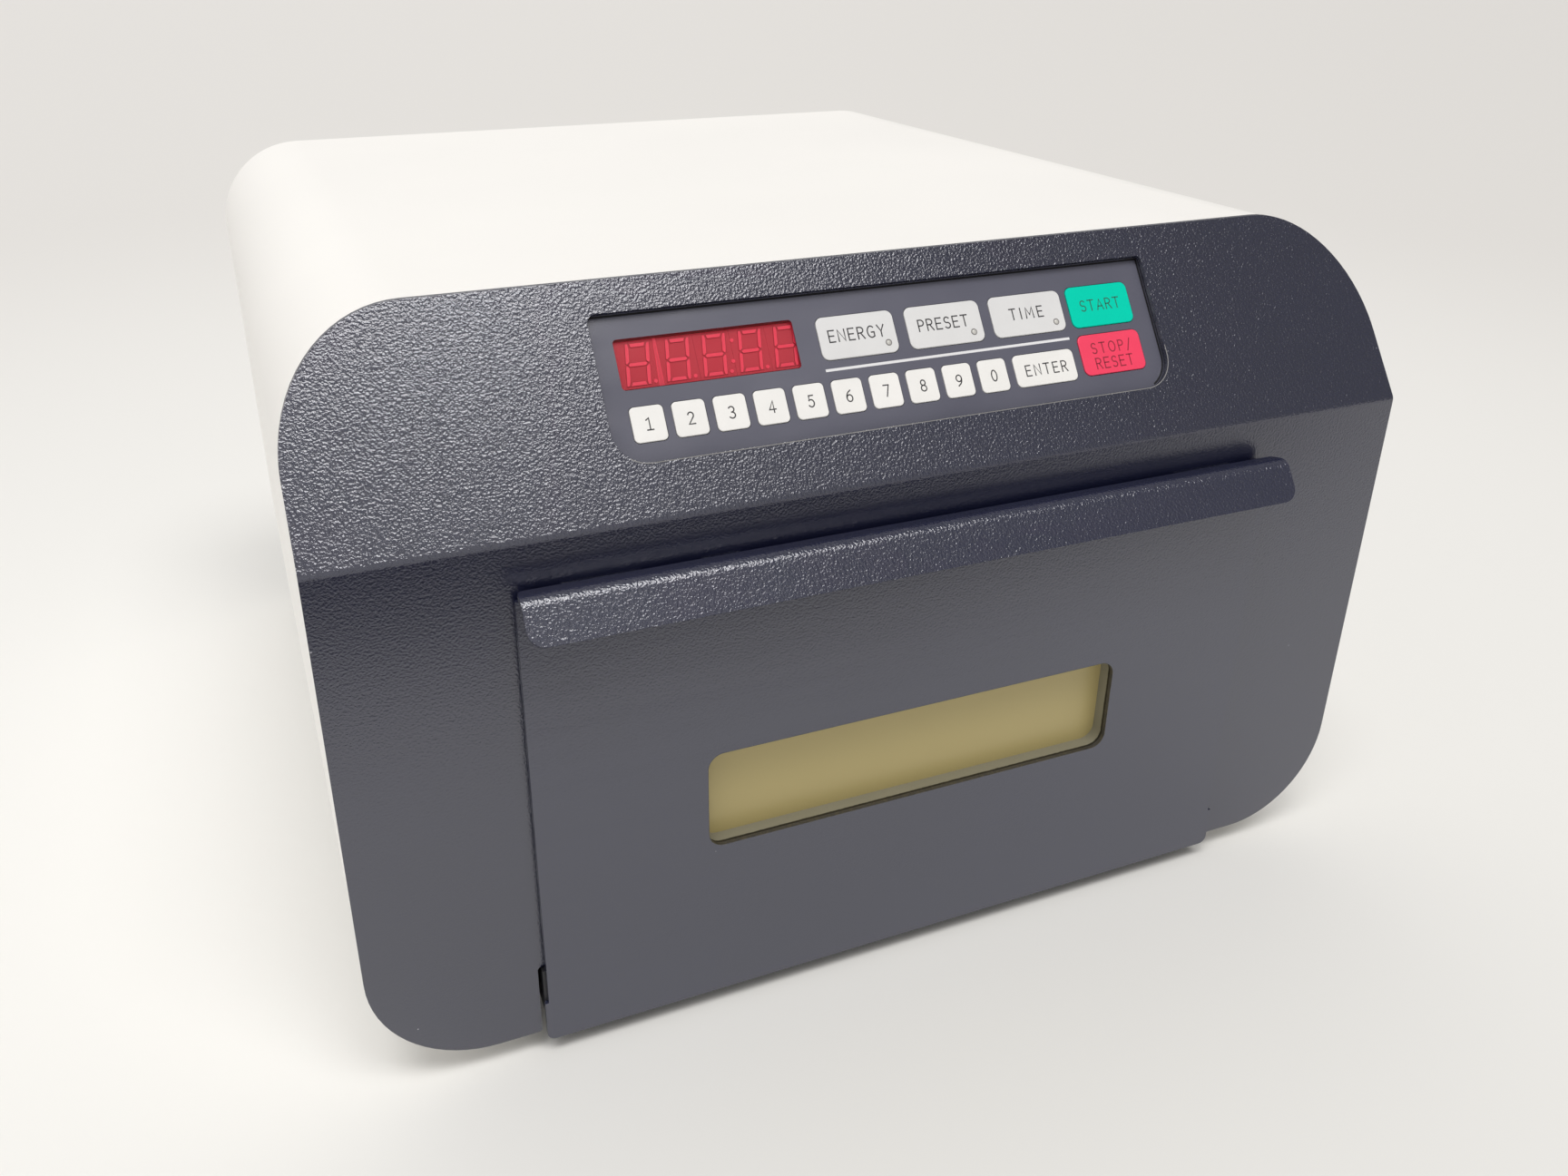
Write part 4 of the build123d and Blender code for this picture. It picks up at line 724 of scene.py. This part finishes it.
world = bpy.data.worlds.new("studio")
bpy.context.scene.world = world
world.use_nodes = True
wt = world.node_tree
bg = wt.nodes["Background"]
wc = wt.nodes.new("ShaderNodeTexCoord")
LOBES = [(0.0, 30.0, 3.0, 0.70), (270.0, 20.0, 6.0, 0.87), (180.0, 20.0, 6.0, 0.58), (180.0, 60.0, 4.0, 0.03), (90.0, 20.0, 6.0, 0.08)]
UNIFORM = 0.179
total = None
for az, el, power, level in LOBES:
    wd = wt.nodes.new("ShaderNodeVectorMath")
    wd.operation = "DOT_PRODUCT"
    wd.inputs[1].default_value = tuple(toward(az, el))
    wt.links.new(wc.outputs["Generated"], wd.inputs[0])
    link = wd.outputs["Value"]
    for op, v in (("MAXIMUM", 0.0), ("POWER", power), ("MULTIPLY", level)):
        m_ = wt.nodes.new("ShaderNodeMath")
        m_.operation = op
        wt.links.new(link, m_.inputs[0])
        m_.inputs[1].default_value = v
        link = m_.outputs["Value"]
    m_ = wt.nodes.new("ShaderNodeMath")
    m_.operation = "ADD"
    wt.links.new(link, m_.inputs[0])
    if total is None:
        m_.inputs[1].default_value = UNIFORM
    else:
        wt.links.new(total, m_.inputs[1])
    total = m_.outputs["Value"]
bg.inputs["Color"].default_value = (1.0, 0.985, 0.965, 1.0)
wt.links.new(total, bg.inputs["Strength"])

F, YAW, PITCH, ROLL = 1415.082, math.radians(21.9227), math.radians(24.5471), math.radians(0.2214)
CX, CY = 810.18, 574.74
fwd = Vector((math.sin(YAW) * math.cos(PITCH), math.cos(YAW) * math.cos(PITCH), -math.sin(PITCH)))
rgt = Vector((math.cos(YAW), -math.sin(YAW), 0.0))
dwn = fwd.cross(rgt)
r_ = rgt * math.cos(ROLL) + dwn * math.sin(ROLL)
d_ = dwn * math.cos(ROLL) - rgt * math.sin(ROLL)
cam = bpy.data.cameras.new("camera")
cam.sensor_fit = "HORIZONTAL"
cam.sensor_width = 36.0
cam.lens = F * 36.0 / 1728.0
cam.shift_x = (864.0 - CX) / 1728.0
cam.shift_y = (CY - 648.0) / 1728.0
cam.clip_start = 0.01
cam.clip_end = 60.0
co = bpy.data.objects.new("camera", cam)
rot = Matrix((r_, -d_, -fwd)).transposed().to_4x4()
co.matrix_world = Matrix.Translation((-0.199062, -0.509752, 0.345810)) @ rot
bpy.context.scene.collection.objects.link(co)
bpy.context.scene.camera = co

bpy.context.scene.view_settings.view_transform = "Standard"
bpy.context.scene.view_settings.look = "None"
